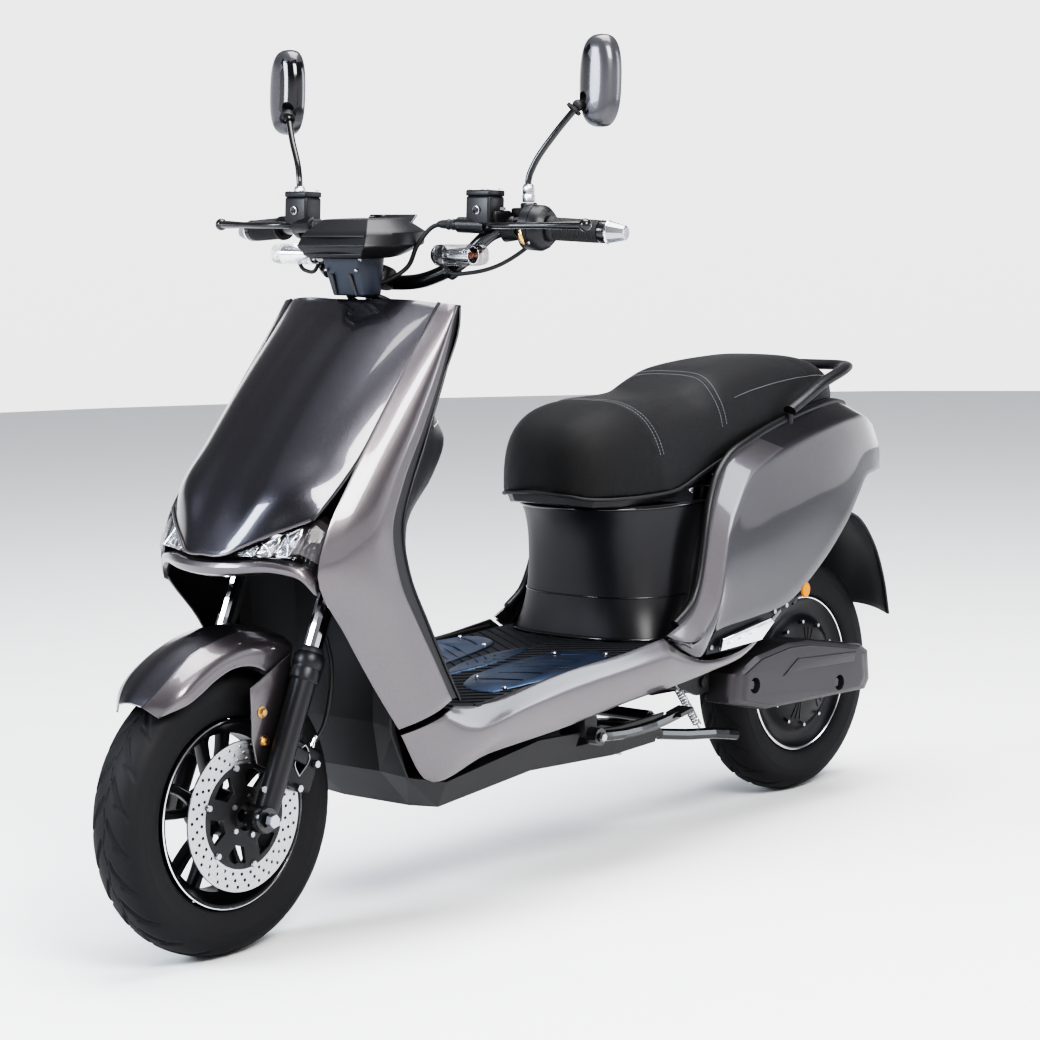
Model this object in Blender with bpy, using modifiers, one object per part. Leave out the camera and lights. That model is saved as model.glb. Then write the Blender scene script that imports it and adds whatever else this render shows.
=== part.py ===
"""Moped scooter: step-through electric two-wheeler, built as separate parts.

World frame, metres: +Z up, the scooter faces -Y, the rider's left is +X.
The origin lies on the ground, midway between the two axles.
"""
import bpy
import bmesh
from math import atan2, cos, pi, radians, sin, tan
from mathutils import Matrix, Vector

# ---------------------------------------------------------------- driving sizes
WHEELBASE = 1.367
TYRE_RADIUS = 0.205
TYRE_HALF_WIDTH = 0.0425
REAR_TYRE_HALF_WIDTH = 0.0440
RIM_RADIUS = 0.134
RAKE = radians(25)
TRAIL_OFFSET = 0.0280          # steering axis behind the front axle, level with it
FORK_HALF_SPREAD = 0.092
FORK_LEG_BACK = 0.009          # fork leg line behind the front axle
DISC_RADIUS = 0.107
DISC_X = 0.0595
GRIP_RADIUS = 0.0165
LEVER_TIP_X = 0.365
MIRROR_X = 0.313
SHELL = 0.003                  # body panel wall
SWING_PIVOT = (0.0, 0.315, 0.250)
SEAT_HINGE = (0.0, 0.070, 0.5655)
SIDE_STAND_PIVOT = Vector((0.162, -0.035, 0.224))
STAND_LUG_OFFSET = Vector((-0.030, 0, 0.014))
CENTRE_STAND_PIVOT = Vector((0, 0.205, 0.208))

FRONT_AXLE = Vector((0, -WHEELBASE / 2, TYRE_RADIUS))
REAR_AXLE = Vector((0, WHEELBASE / 2, TYRE_RADIUS))
STEER_FOOT = FRONT_AXLE + Vector((0, TRAIL_OFFSET, 0))
STEER = Vector((0, sin(RAKE), cos(RAKE)))
LEG_FOOT = FRONT_AXLE + Vector((0, FORK_LEG_BACK, 0))

COLLECTION = "moped_scooter"
SIDES = (("left", 1), ("right", -1))


# ---------------------------------------------------------------- scene set-up
def clear_scene():
    for item in list(bpy.data.objects):
        bpy.data.objects.remove(item, do_unlink=True)
    for old in list(bpy.data.collections):
        bpy.data.collections.remove(old)
    for name in (COLLECTION, "cutters"):
        group = bpy.data.collections.new(name)
        bpy.context.scene.collection.children.link(group)


def material(name, colour, metallic, roughness):
    """A Principled material, made once for each finish."""
    found = bpy.data.materials.get(name)
    if found:
        return found
    made = bpy.data.materials.new(name)
    made.use_nodes = True
    shader = made.node_tree.nodes["Principled BSDF"]
    shader.inputs["Base Color"].default_value = (*colour, 1)
    shader.inputs["Metallic"].default_value = metallic
    shader.inputs["Roughness"].default_value = roughness
    return made


FINISHES = {
    "gunmetal_paint": ((0.10, 0.10, 0.12), 0.75, 0.28),
    "silver_paint": ((0.30, 0.28, 0.30), 0.80, 0.32),
    "black_plastic": ((0.012, 0.012, 0.014), 0.0, 0.45),
    "gloss_black": ((0.008, 0.008, 0.010), 0.0, 0.15),
    "deck_rubber": ((0.015, 0.016, 0.020), 0.0, 0.65),
    "tyre_rubber": ((0.014, 0.014, 0.015), 0.0, 0.70),
    "seat_cover": ((0.014, 0.014, 0.016), 0.0, 0.60),
    "chrome": ((0.85, 0.85, 0.87), 1.0, 0.06),
    "steel": ((0.55, 0.55, 0.57), 1.0, 0.28),
    "frame_steel": ((0.03, 0.03, 0.032), 0.4, 0.45),
    "clear_lens": ((0.80, 0.85, 0.90), 0.0, 0.05),
    "red_lens": ((0.45, 0.02, 0.02), 0.0, 0.12),
    "grey_satin": ((0.16, 0.155, 0.16), 0.5, 0.42),
}


def keep(thing, finish):
    """Puts a finished sub-part in the object's collection with its finish."""
    for group in list(thing.users_collection):
        group.objects.unlink(thing)
    bpy.data.collections[COLLECTION].objects.link(thing)
    thing.data.materials.clear()
    thing.data.materials.append(material(finish, *FINISHES[finish]))
    return thing


def spare(thing):
    """Puts a cutter, or a body that a union takes up, out of the way."""
    for group in list(thing.users_collection):
        group.objects.unlink(thing)
    bpy.data.collections["cutters"].objects.link(thing)
    thing.hide_render = True
    thing.display_type = "WIRE"
    return thing


def pivot(name, place):
    """An empty on a joint's axis, which carries the pieces that move with it."""
    empty = bpy.data.objects.new(name, None)
    empty.location = place
    bpy.data.collections[COLLECTION].objects.link(empty)
    return empty


def hang(empty, *things):
    """Parents pieces to a pivot, or a cutter to its piece, and leaves them where they are."""
    bpy.context.view_layer.update()
    for thing in things:
        thing.parent = empty
        thing.matrix_parent_inverse = empty.matrix_world.inverted()


# ---------------------------------------------------------------- shape helpers
def new_mesh(name, bm, smooth=35):
    bmesh.ops.recalc_face_normals(bm, faces=bm.faces)
    mesh = bpy.data.meshes.new(name)
    bm.to_mesh(mesh)
    bm.free()
    mesh.shade_smooth()
    mesh.set_sharp_from_angle(angle=radians(smooth))
    thing = bpy.data.objects.new(name, mesh)
    bpy.context.scene.collection.objects.link(thing)
    return thing


def bevel(thing, width, segments=1):
    added = thing.modifiers.new("edges", "BEVEL")
    added.width = width
    added.segments = segments
    added.limit_method = "ANGLE"
    return thing


def block(name, size, centre, turn=None, edge=0.0):
    """A box, turned about its own centre, with its edges broken."""
    bm = bmesh.new()
    bmesh.ops.create_cube(bm, size=1)
    bmesh.ops.scale(bm, vec=size, verts=bm.verts)
    thing = new_mesh(name, bm)
    thing.location = centre
    if turn:
        thing.rotation_euler = turn
    return bevel(thing, edge) if edge else thing


def rod(name, start, end, radius, end_radius=None, segments=14):
    """A round bar or cone between two points."""
    start, end = Vector(start), Vector(end)
    run = end - start
    bm = bmesh.new()
    bmesh.ops.create_cone(
        bm, cap_ends=True, segments=segments, radius1=radius,
        radius2=radius if end_radius is None else end_radius, depth=run.length)
    thing = new_mesh(name, bm)
    thing.location = (start + end) / 2
    thing.rotation_euler = run.to_track_quat("Z", "Y").to_euler()
    return thing


def turned(name, profile, centre, direction=(1, 0, 0), steps=36):
    """A profile of (radius, distance along the axis), turned about the axis.

    A profile that starts and ends on the axis is a solid one, any other is closed into a ring.
    """
    bm = bmesh.new()
    corners = [bm.verts.new((radius, 0, along)) for radius, along in profile]
    for one, two in zip(corners, corners[1:]):
        bm.edges.new((one, two))
    if profile[0][0] > 1e-6:
        bm.edges.new((corners[-1], corners[0]))
    mesh = bpy.data.meshes.new(name)
    bm.to_mesh(mesh)
    bm.free()
    thing = bpy.data.objects.new(name, mesh)
    bpy.context.scene.collection.objects.link(thing)
    screw = thing.modifiers.new("turn", "SCREW")
    screw.steps = steps
    screw.render_steps = steps
    screw.use_merge_vertices = True
    screw.merge_threshold = 0.00005
    thing.location = centre
    thing.rotation_euler = Vector(direction).to_track_quat("Z", "Y").to_euler()
    return thing


def curve_points(points, per_span=4):
    """Points on a smooth curve through the given ones."""
    given = [Vector(p) for p in points]
    given = [given[0] * 2 - given[1]] + given + [given[-1] * 2 - given[-2]]
    found = []
    for a, b, c, d in zip(given, given[1:], given[2:], given[3:]):
        for step in range(per_span):
            t = step / per_span
            found.append(0.5 * ((2 * b) + (c - a) * t + (2 * a - 5 * b + 4 * c - d) * t * t
                                + (3 * b - a - 3 * c + d) * t ** 3))
    return found + [given[-2]]


def tube(name, points, radius, resolution=2, per_span=4):
    """A round tube along a smooth curve through the points."""
    curve = bpy.data.curves.new(name, "CURVE")
    curve.dimensions = "3D"
    curve.bevel_depth = radius
    curve.bevel_resolution = resolution
    curve.use_fill_caps = True
    path = curve_points(points, per_span) if per_span > 1 else [Vector(p) for p in points]
    spline = curve.splines.new("POLY")
    spline.points.add(len(path) - 1)
    for slot, place in zip(spline.points, path):
        slot.co = (*place, 1)
    thing = bpy.data.objects.new(name, curve)
    bpy.context.scene.collection.objects.link(thing)
    return thing


def solid_tube(name, points, radius, resolution=2, per_span=4):
    """A tube as a closed mesh, ready to be cut or joined."""
    source = tube(name + "_curve", points, radius, resolution, per_span)
    bpy.context.view_layer.update()
    seen = source.evaluated_get(bpy.context.evaluated_depsgraph_get())
    mesh = bpy.data.meshes.new_from_object(seen)
    thing = bpy.data.objects.new(name, mesh)
    thing.matrix_world = source.matrix_world
    bpy.context.scene.collection.objects.link(thing)
    bpy.data.objects.remove(source)
    bm = bmesh.new()
    bm.from_mesh(mesh)
    bmesh.ops.remove_doubles(bm, verts=bm.verts, dist=0.00002)
    bmesh.ops.recalc_face_normals(bm, faces=bm.faces)
    bm.to_mesh(mesh)
    bm.free()
    return thing


def side_plate(name, outline, x_inner, x_outer):
    """A flat plate: an outline of (y, z) points, from one x to the other."""
    curve = bpy.data.curves.new(name, "CURVE")
    curve.dimensions = "2D"
    curve.fill_mode = "BOTH"
    curve.extrude = abs(x_outer - x_inner) / 2
    spline = curve.splines.new("POLY")
    spline.points.add(len(outline) - 1)
    for slot, (y, z) in zip(spline.points, outline):
        slot.co = (y, z, 0, 1)
    spline.use_cyclic_u = True
    source = bpy.data.objects.new(name + "_flat", curve)
    source.matrix_world = Matrix(((0, 0, 1, (x_inner + x_outer) / 2),
                                  (1, 0, 0, 0), (0, 1, 0, 0), (0, 0, 0, 1)))
    bpy.context.scene.collection.objects.link(source)
    bpy.context.view_layer.update()
    seen = source.evaluated_get(bpy.context.evaluated_depsgraph_get())
    mesh = bpy.data.meshes.new_from_object(seen)
    thing = bpy.data.objects.new(name, mesh)
    thing.matrix_world = source.matrix_world
    bpy.context.scene.collection.objects.link(thing)
    bpy.data.objects.remove(source)
    bm = bmesh.new()
    bm.from_mesh(mesh)
    bmesh.ops.remove_doubles(bm, verts=bm.verts, dist=0.00002)
    bmesh.ops.recalc_face_normals(bm, faces=bm.faces)
    bm.to_mesh(mesh)
    bm.free()
    return thing


def loft(name, rings, smooth=35):
    """A closed solid through rings of points, with flat ends."""
    bm = bmesh.new()
    rows = [[bm.verts.new(p) for p in ring] for ring in rings]
    count = len(rows[0])
    for low, high in zip(rows, rows[1:]):
        for i in range(count):
            j = (i + 1) % count
            bm.faces.new((low[i], low[j], high[j], high[i]))
    bm.faces.new(rows[0][::-1])
    bm.faces.new(rows[-1])
    return new_mesh(name, bm, smooth)


def panel(name, rows, wall=SHELL, inward=(0, 0, 0.5)):
    """A thin shell: a grid of points, with its wall set towards a point inside the body."""
    bm = bmesh.new()
    grid = [[bm.verts.new(p) for p in row] for row in rows]
    for low, high in zip(grid, grid[1:]):
        for i in range(len(low) - 1):
            bm.faces.new((low[i], low[i + 1], high[i + 1], high[i]))
    bm.normal_update()
    out = sum(((f.calc_center_median() - Vector(inward)).dot(f.normal)) * f.calc_area()
              for f in bm.faces)
    if out < 0:
        bmesh.ops.reverse_faces(bm, faces=bm.faces)
    mesh = bpy.data.meshes.new(name)
    bm.to_mesh(mesh)
    bm.free()
    mesh.shade_smooth()
    mesh.set_sharp_from_angle(angle=radians(35))
    thing = bpy.data.objects.new(name, mesh)
    bpy.context.scene.collection.objects.link(thing)
    wall_added = thing.modifiers.new("wall", "SOLIDIFY")
    wall_added.thickness = wall
    wall_added.offset = -1
    return thing


def boolean(thing, other, operation):
    added = thing.modifiers.new(operation.lower(), "BOOLEAN")
    added.object = spare(other)
    added.operation = operation
    added.solver = "EXACT"
    hang(thing, other)
    return thing


def join(thing, *others):
    for other in others:
        boolean(thing, other, "UNION")
    return thing


def cut(thing, *others):
    for other in others:
        boolean(thing, other, "DIFFERENCE")
    return thing


def lerp(a, b, t):
    return Vector(a) * (1 - t) + Vector(b) * t


def lerp_1d(a, b, t):
    return a * (1 - t) + b * t


def flip(points, side):
    """The same points on the rider's left (side 1) or right (side -1)."""
    return [Vector((p[0] * side, p[1], p[2])) for p in points]


def on_steering(height, ahead=0.0, x=0.0):
    """A point at a given height on the steering axis, moved square to it."""
    place = STEER_FOOT + STEER * ((height - STEER_FOOT.z) / STEER.z)
    return place + Vector((x, -cos(RAKE) * ahead, sin(RAKE) * ahead))


def on_leg(along, x, ahead=0.0):
    """A point on a fork leg's line, at a distance along it from axle height."""
    return LEG_FOOT + STEER * along + Vector((x, -cos(RAKE) * ahead, sin(RAKE) * ahead))


# ---------------------------------------------------------------- wheels
def tyre(name, centre, half_width):
    crown, shoulder = 0.021, half_width * 0.86
    bead = RIM_RADIUS + 0.001
    right = [(TYRE_RADIUS, crown), (TYRE_RADIUS - 0.012, shoulder * 0.92),
             (TYRE_RADIUS - 0.032, half_width), (RIM_RADIUS + 0.024, half_width * 0.97),
             (bead, half_width * 0.72)]
    inner = [(bead, 0.022), (bead + 0.036, 0.024)]
    left = [(r, -a) for r, a in reversed(right)]
    hollow = inner + [(r, -a) for r, a in reversed(inner)]
    profile = left + right + hollow
    return keep(turned(name, profile[::-1], centre, steps=36), "tyre_rubber")


def rim_barrel(name, centre, flange_x, well_radius):
    """The barrel of a rim: two flanges and a well between them."""
    outer = [(RIM_RADIUS, -flange_x), (RIM_RADIUS - 0.004, -0.021), (RIM_RADIUS - 0.004, 0.021),
             (RIM_RADIUS, flange_x)]
    inner = [(RIM_RADIUS - 0.006, flange_x), (well_radius, 0.018), (well_radius, -0.018),
             (RIM_RADIUS - 0.006, -flange_x)]
    return turned(name, (outer + inner)[::-1], centre, steps=30)


def front_wheel():
    centre = FRONT_AXLE
    tyre("front_tyre", centre, TYRE_HALF_WIDTH)
    rim = keep(rim_barrel("front_rim", centre, 0.039, 0.112), "black_plastic")
    hub = turned("hub", [(0.0085, -0.036), (0.0085, 0.036), (0.030, 0.036), (0.034, 0.0),
                         (0.030, -0.036)], centre, steps=20)
    spokes = []
    for index in range(5):
        for lean in (-11, 11):
            angle = radians(index * 72 + 90)
            foot = Vector((0, cos(angle), sin(angle))) * 0.028
            tip_angle = angle + radians(lean)
            tip = Vector((0, cos(tip_angle), sin(tip_angle))) * 0.1155
            run = tip - foot
            spoke = block(f"spoke_{index}_{lean}", (0.020, run.length, 0.013),
                          centre + (foot + tip) / 2, (atan2(run.z, run.y), 0, 0))
            spokes.append(spoke)
    join(rim, hub, *spokes)
    disc = keep(turned("brake_disc", [
        (0.0335, DISC_X - 0.002), (0.0335, DISC_X + 0.003), (0.074, DISC_X + 0.003),
        (0.076, DISC_X + 0.002), (DISC_RADIUS, DISC_X + 0.002), (DISC_RADIUS, DISC_X - 0.002)],
        centre, steps=36), "steel")
    seat = turned("disc_seat", [(0.0088, 0.0364), (0.0088, DISC_X + 0.006), (0.036, DISC_X + 0.006),
                                (0.036, 0.0364)], centre, steps=20)
    join(disc, seat)
    axle = pivot("front_wheel_pivot", centre)
    hang(axle, *(bpy.data.objects[n] for n in ("front_tyre", "front_rim", "brake_disc")))
    return axle


def rear_wheel():
    centre = REAR_AXLE
    tyre("rear_tyre", centre, REAR_TYRE_HALF_WIDTH)
    hub = keep(turned("hub_motor", [
        (0, -0.050), (0.020, -0.050), (0.024, -0.046), (0.086, -0.040), (0.100, -0.030),
        (0.106, -0.028), (RIM_RADIUS - 0.006, -0.034), (RIM_RADIUS, -0.035),
        (RIM_RADIUS - 0.004, -0.021), (RIM_RADIUS - 0.004, 0.021), (RIM_RADIUS, 0.035),
        (RIM_RADIUS - 0.006, 0.034), (0.106, 0.028), (0.100, 0.030), (0.086, 0.040),
        (0.024, 0.046), (0.020, 0.050), (0, 0.050)][::-1], centre, steps=28), "black_plastic")
    axle = pivot("rear_wheel_pivot", centre)
    hang(axle, bpy.data.objects["rear_tyre"], hub)
    return axle


# ---------------------------------------------------------------- front fork
SLIDER_FOOT, SLIDER_TOP = -0.014, 0.240
BORE_FOOT, TUBE_FOOT, YOKE_ALONG = 0.107, 0.157, 0.400


def fork():
    """The sprung lower half of the fork, and the upper half with yoke and stem."""
    lower = pivot("fork_lower_pivot", STEER_FOOT)
    for side_name, side in SIDES:
        x = FORK_HALF_SPREAD * side
        leg = rod(f"fork_slider_{side_name}", on_leg(SLIDER_FOOT, x), on_leg(SLIDER_TOP - 0.03, x),
                  0.0165, 0.019)
        collar = rod("collar", on_leg(SLIDER_TOP - 0.036, x), on_leg(SLIDER_TOP, x), 0.0225)
        boss = rod("axle_boss", FRONT_AXLE + Vector((x - 0.015 * side, 0, 0)),
                   FRONT_AXLE + Vector((x + 0.017 * side, 0, 0)), 0.019)
        join(leg, collar, boss)
        if side > 0:
            join(leg, rod("axle_pin", FRONT_AXLE + Vector((-0.0755, 0, 0)),
                          FRONT_AXLE + Vector((0.095, 0, 0)), 0.0078))
        cut(leg, rod("leg_bore", on_leg(BORE_FOOT, x), on_leg(SLIDER_TOP + 0.02, x), 0.0150,
                     segments=14))
        hang(lower, keep(leg, "gloss_black"))
    hang(lower, front_fender(), *fender_brackets(), brake_caliper())

    upper = rod("fork_upper", on_steering(0.575), on_steering(0.908), 0.0125, segments=14)
    yoke_z = (LEG_FOOT + STEER * YOKE_ALONG).z
    yoke = block("yoke", (2 * FORK_HALF_SPREAD + 0.044, 0.050, 0.026),
                 on_steering(yoke_z, ahead=0.006), (-RAKE, 0, 0), 0.008)
    join(upper, yoke)
    for _, side in SIDES:
        x = FORK_HALF_SPREAD * side
        join(upper, rod("stanchion", on_leg(TUBE_FOOT, x), on_leg(YOKE_ALONG + 0.02, x),
                        0.0145, segments=14))
    return lower, keep(upper, "chrome")


def arc_about_axle(radius, degrees, x):
    """A point about the front axle, at an angle from straight up, forward positive."""
    angle = radians(degrees)
    return FRONT_AXLE + Vector((x, -sin(angle) * radius, cos(angle) * radius))


def front_fender():
    """A mudguard with a raised crown and falling sides."""
    rows = []
    for degrees in (41, 37, 31, 23, 14, 4, -6, -16, -25):
        tip = max(0.0, (degrees - 27) / 14)
        half = 0.062 - 0.022 * tip ** 2
        crown = 0.262 - 0.00058 * max(0, degrees + 5) + 0.0003 * max(0, -5 - degrees)
        drop = 0.046 - 0.020 * tip + 0.022 * min(1, max(0, -degrees) / 20)
        edge = [arc_about_axle(crown - drop, degrees, half + 0.003),
                arc_about_axle(crown - 0.024, degrees, half),
                arc_about_axle(crown - 0.007, degrees, half * 0.62),
                arc_about_axle(crown, degrees, 0)]
        rows.append(edge + flip(edge[-2::-1], -1))
    return keep(panel("front_fender", rows, 0.0028, FRONT_AXLE), "gunmetal_paint")


def fender_brackets():
    outline = [(-0.672, 0.384), (-0.590, 0.424), (-0.597, 0.352), (-0.637, 0.262), (-0.664, 0.276),
               (-0.671, 0.310)]
    made = []
    for side_name, side in SIDES:
        plate = side_plate(f"fender_bracket_{side_name}", outline, 0.0662 * side, 0.0698 * side)
        made.append(keep(plate, "grey_satin"))
    return made


def brake_caliper():
    """The caliper straddles the disc behind the left fork leg."""
    centre = (DISC_X + 0.004, -0.588, 0.262)
    lean = (radians(-28), 0, 0)
    caliper = block("brake_caliper", (0.043, 0.062, 0.066), centre, lean, 0.007)
    slot = turned("disc_slot", [(0, DISC_X + 0.0045), (DISC_RADIUS + 0.003, DISC_X + 0.0045),
                                (DISC_RADIUS + 0.003, DISC_X - 0.0035), (0, DISC_X - 0.0035)],
                  FRONT_AXLE, steps=48)
    lug = block("caliper_lug", (0.012, 0.050, 0.020), (DISC_X + 0.0285, -0.608, 0.285),
                lean)
    join(caliper, lug)
    cut(caliper, slot)
    cut(caliper, rod("leg_room", on_leg(-0.02, FORK_HALF_SPREAD), on_leg(0.24, FORK_HALF_SPREAD),
                     0.0225))
    return keep(caliper, "gloss_black")


# ---------------------------------------------------------------- handlebar
GRIP_IN, GRIP_OUT, BAR_TIP = 0.268, 0.345, 0.386
BAR_SWEEP = radians(12.5)
BAR_BEND = Vector((0.225, -0.251, 1.008))


HALF_BAR = ((0.225, -0.251, 1.008), (0.185, -0.266, 1.002), (0.135, -0.290, 0.957),
            (0.075, -0.298, 0.933))
BAR_ROUTE = HALF_BAR + ((0, -0.298, 0.928),) + tuple((-x, y, z) for x, y, z in HALF_BAR[::-1])


def on_bar(x):
    """The centre of the straight end of the bar, at a distance x from the middle."""
    run = abs(x) - BAR_BEND.x
    side = 1 if x >= 0 else -1
    return Vector((x, BAR_BEND.y + run * tan(BAR_SWEEP), BAR_BEND.z - run * 0.06)), side


def handlebar_parts():
    """The bar, everything clamped to it, and the display above the steering neck."""
    made = []
    bar = solid_tube("handlebar", BAR_ROUTE, 0.0110, 2, 2)
    clamp = rod("bar_clamp", on_steering(0.9254), on_steering(0.950), 0.024)
    join(bar, clamp)
    for _, side in SIDES:
        join(bar, rod("bar_end_run", on_bar(0.215 * side)[0], on_bar((GRIP_OUT + 0.004) * side)[0],
                      0.0108),
             rod("bar_end_cap", on_bar((GRIP_OUT + 0.001) * side)[0], on_bar(BAR_TIP * side)[0],
                 0.0165, 0.0105))
    made.append(keep(bar, "gloss_black"))

    grip = sleeve("grip_left", 1)
    made.append(keep(grip, "tyre_rubber"))
    throttle = keep(sleeve("throttle_grip", -1), "tyre_rubber")
    throttle_axis = pivot("throttle_pivot", on_bar(-GRIP_IN)[0])
    hang(throttle_axis, throttle)

    for side_name, side in SIDES:
        made.append(brake_perch(side_name, side))
    made += switch_housing(), display_housing()
    for side_name, side in SIDES:
        made.append(turn_signal(side_name, side))
    levers = [brake_lever(side_name, side) for side_name, side in SIDES]
    mirrors = [mirror(side_name, side) for side_name, side in SIDES]
    switch = indicator_switch()
    return made, [throttle_axis, switch] + levers + mirrors


def sleeve(name, side):
    """A rubber grip: a ring about the bar."""
    start, _ = on_bar(GRIP_IN * side)
    end, _ = on_bar(GRIP_OUT * side)
    length = (end - start).length
    return turned(name, [
        (0.0114, 0), (0.0114, length), (GRIP_RADIUS - 0.001, length),
        (GRIP_RADIUS, length - 0.002), (GRIP_RADIUS, 0.009), (GRIP_RADIUS + 0.002, 0.006),
        (GRIP_RADIUS + 0.002, 0)], start, end - start, steps=18)


PERCH_X = 0.183
LEVER_PIVOT = Vector((0.197, -0.292, 1.012))


def brake_perch(side_name, side):
    """Clamp, cylinder and fluid reservoir of a hand brake, as one casting."""
    inner = Vector((0.140 * side, -0.303, 1.013))
    outer = Vector((0.186 * side, -0.293, 1.011))
    perch = rod(f"brake_perch_{side_name}", inner, outer, 0.0115, segments=12)
    tank = block("reservoir", (0.046, 0.036, 0.050), (PERCH_X * side, -0.286, 1.036),
                 (radians(-4), 0, 0), 0.005)
    clamp = rod("perch_clamp", (0.196 * side, -0.2615, 1.0045), (0.218 * side, -0.2535, 1.008),
                0.0185, segments=12)
    arm = block("perch_arm", (0.022, 0.040, 0.020), (0.199 * side, -0.276, 1.0215), None, 0.002)
    join(perch, tank, clamp, arm)
    cut(perch, solid_tube("bar_room", BAR_ROUTE, 0.0116, 2, 2),
        rod("bar_room_end", on_bar(0.210 * side)[0], on_bar(0.250 * side)[0], 0.0114))
    cut(perch, block("lever_room", (0.052, 0.028, 0.0125),
                     (LEVER_PIVOT.x * side + 0.008 * side, LEVER_PIVOT.y - 0.002, LEVER_PIVOT.z)))
    return keep(perch, "gloss_black")


def brake_lever(side_name, side):
    """A cast lever with a ball end, hinged at the perch."""
    tip = Vector((LEVER_TIP_X * side, -0.282, 1.012))
    foot = Vector((LEVER_PIVOT.x * side, LEVER_PIVOT.y, LEVER_PIVOT.z))
    route = [foot + Vector((-0.006 * side, 0, 0)), lerp(foot, tip, 0.25) + Vector((0, -0.020, 0)),
             lerp(foot, tip, 0.6) + Vector((0, -0.016, 0)), tip]
    blade = solid_tube(f"brake_lever_{side_name}", route, 0.0052, 1, 4)
    bm = bmesh.new()
    bmesh.ops.create_uvsphere(bm, u_segments=10, v_segments=6, radius=0.0095)
    ball = new_mesh("lever_ball", bm)
    ball.location = tip
    join(blade, ball, rod("lever_eye", foot + Vector((0, 0, -0.0055)),
                          foot + Vector((0, 0, 0.0055)), 0.0085))
    axis = pivot(f"lever_{side_name}_pivot", foot)
    hang(axis, keep(blade, "gloss_black"))
    return axis


def switch_housing():
    """The round switch box inboard of the left grip."""
    start, _ = on_bar(0.2270)
    end, _ = on_bar(GRIP_IN - 0.0006)
    length = (end - start).length
    box = turned("switch_housing", [
        (0.0114, 0), (0.0114, length), (0.024, length), (0.033, length - 0.012),
        (0.032, 0.006), (0.026, 0)], start, end - start, steps=20)
    return keep(box, "black_plastic")


def indicator_switch():
    """The sliding indicator switch on the rider's face of the switch box."""
    place = on_bar(0.244)[0] + Vector((0.002, 0.0384, -0.006))
    knob = keep(block("indicator_switch", (0.018, 0.005, 0.011), place, None, 0.0012), "steel")
    slide = pivot("indicator_switch_pivot", place)
    hang(slide, knob)
    return slide


MIRROR_FOOT = Vector((0.230, -0.244, 1.0435))


def mirror(side_name, side):
    """A bent stem on a ball nut, and the mirror head on the stem's top."""
    foot = Vector((MIRROR_FOOT.x * side, MIRROR_FOOT.y, MIRROR_FOOT.z))
    head = Vector((MIRROR_X * side, -0.183, 1.213))
    tip = head + Vector((-0.022 * side, -0.020, -0.034))
    stem = solid_tube(f"mirror_stem_{side_name}", flip([
        (0.230, -0.244, 1.060), (0.232, -0.242, 1.090), (0.264, -0.223, 1.140),
        (abs(tip.x), tip.y, tip.z)], side), 0.0048, 2, 4)
    join(stem, rod("stem_nut", foot, foot + Vector((0, 0, 0.026)), 0.0095, 0.0075, 12))
    turn = pivot(f"mirror_stem_{side_name}_pivot", foot)

    rings = []
    for back, scale in ((0.0, 0.90), (0.005, 1.0), (0.014, 0.98), (0.024, 0.80), (0.029, 0.45)):
        ring = []
        for i in range(20):
            angle = 2 * pi * i / 20
            c, s = cos(angle), sin(angle)
            width = 0.032 * scale * abs(c) ** 0.75 * (1 if c >= 0 else -1)
            height = 0.066 * scale * abs(s) ** 0.75 * (1 if s >= 0 else -1)
            ring.append(Vector((width, -back, height)))
        rings.append(ring)
    shell = loft(f"mirror_head_{side_name}", rings)
    shell.location = head + Vector((0, 0.012, 0))
    shell.rotation_euler = (radians(-4), 0, radians(3 * side))
    cut(shell, rod("stem_room", tip + Vector((-0.010 * side, -0.012, -0.016)),
                   tip + Vector((0.010 * side, 0.012, 0.016)), 0.0095, segments=12))
    tilt = pivot(f"mirror_head_{side_name}_pivot", tip)
    hang(tilt, keep(shell, "grey_satin"))
    hang(turn, keep(stem, "gloss_black"), tilt)
    return turn


def turn_signal(side_name, side):
    """A lamp pod clamped under the bar."""
    inner, outer = 0.122, 0.208
    rings = []
    for x, scale in ((inner, 0.7), (inner + 0.008, 1.0), (outer - 0.020, 0.95), (outer, 0.45)):
        rings.append([Vector((x * side, -0.3195 + 0.017 * scale * cos(a),
                              0.970 + 0.0135 * scale * sin(a)))
                      for a in (2 * pi * i / 12 + pi / 12 for i in range(12))])
    return keep(loft(f"turn_signal_{side_name}", rings), "clear_lens")


def display_housing():
    """The instrument housing and its neck, around the top of the steering stem."""
    levels = ((0.9125, 0.038, -0.382, -0.3455), (0.945, 0.042, -0.394, -0.3425),
              (0.960, 0.062, -0.405, -0.3380), (0.985, 0.084, -0.418, -0.290),
              (1.003, 0.080, -0.408, -0.282), (1.023, 0.056, -0.384, -0.306))
    rings = []
    for z, half, front, back in levels:
        corner = half * 0.80
        rings.append([(-corner, front, z), (corner, front, z), (half, lerp_1d(front, back, 0.3), z),
                      (half, lerp_1d(front, back, 0.7), z), (corner, back, z), (-corner, back, z),
                      (-half, lerp_1d(front, back, 0.7), z),
                      (-half, lerp_1d(front, back, 0.3), z)])
    return keep(loft("display_housing", rings, 25), "gloss_black")



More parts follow.
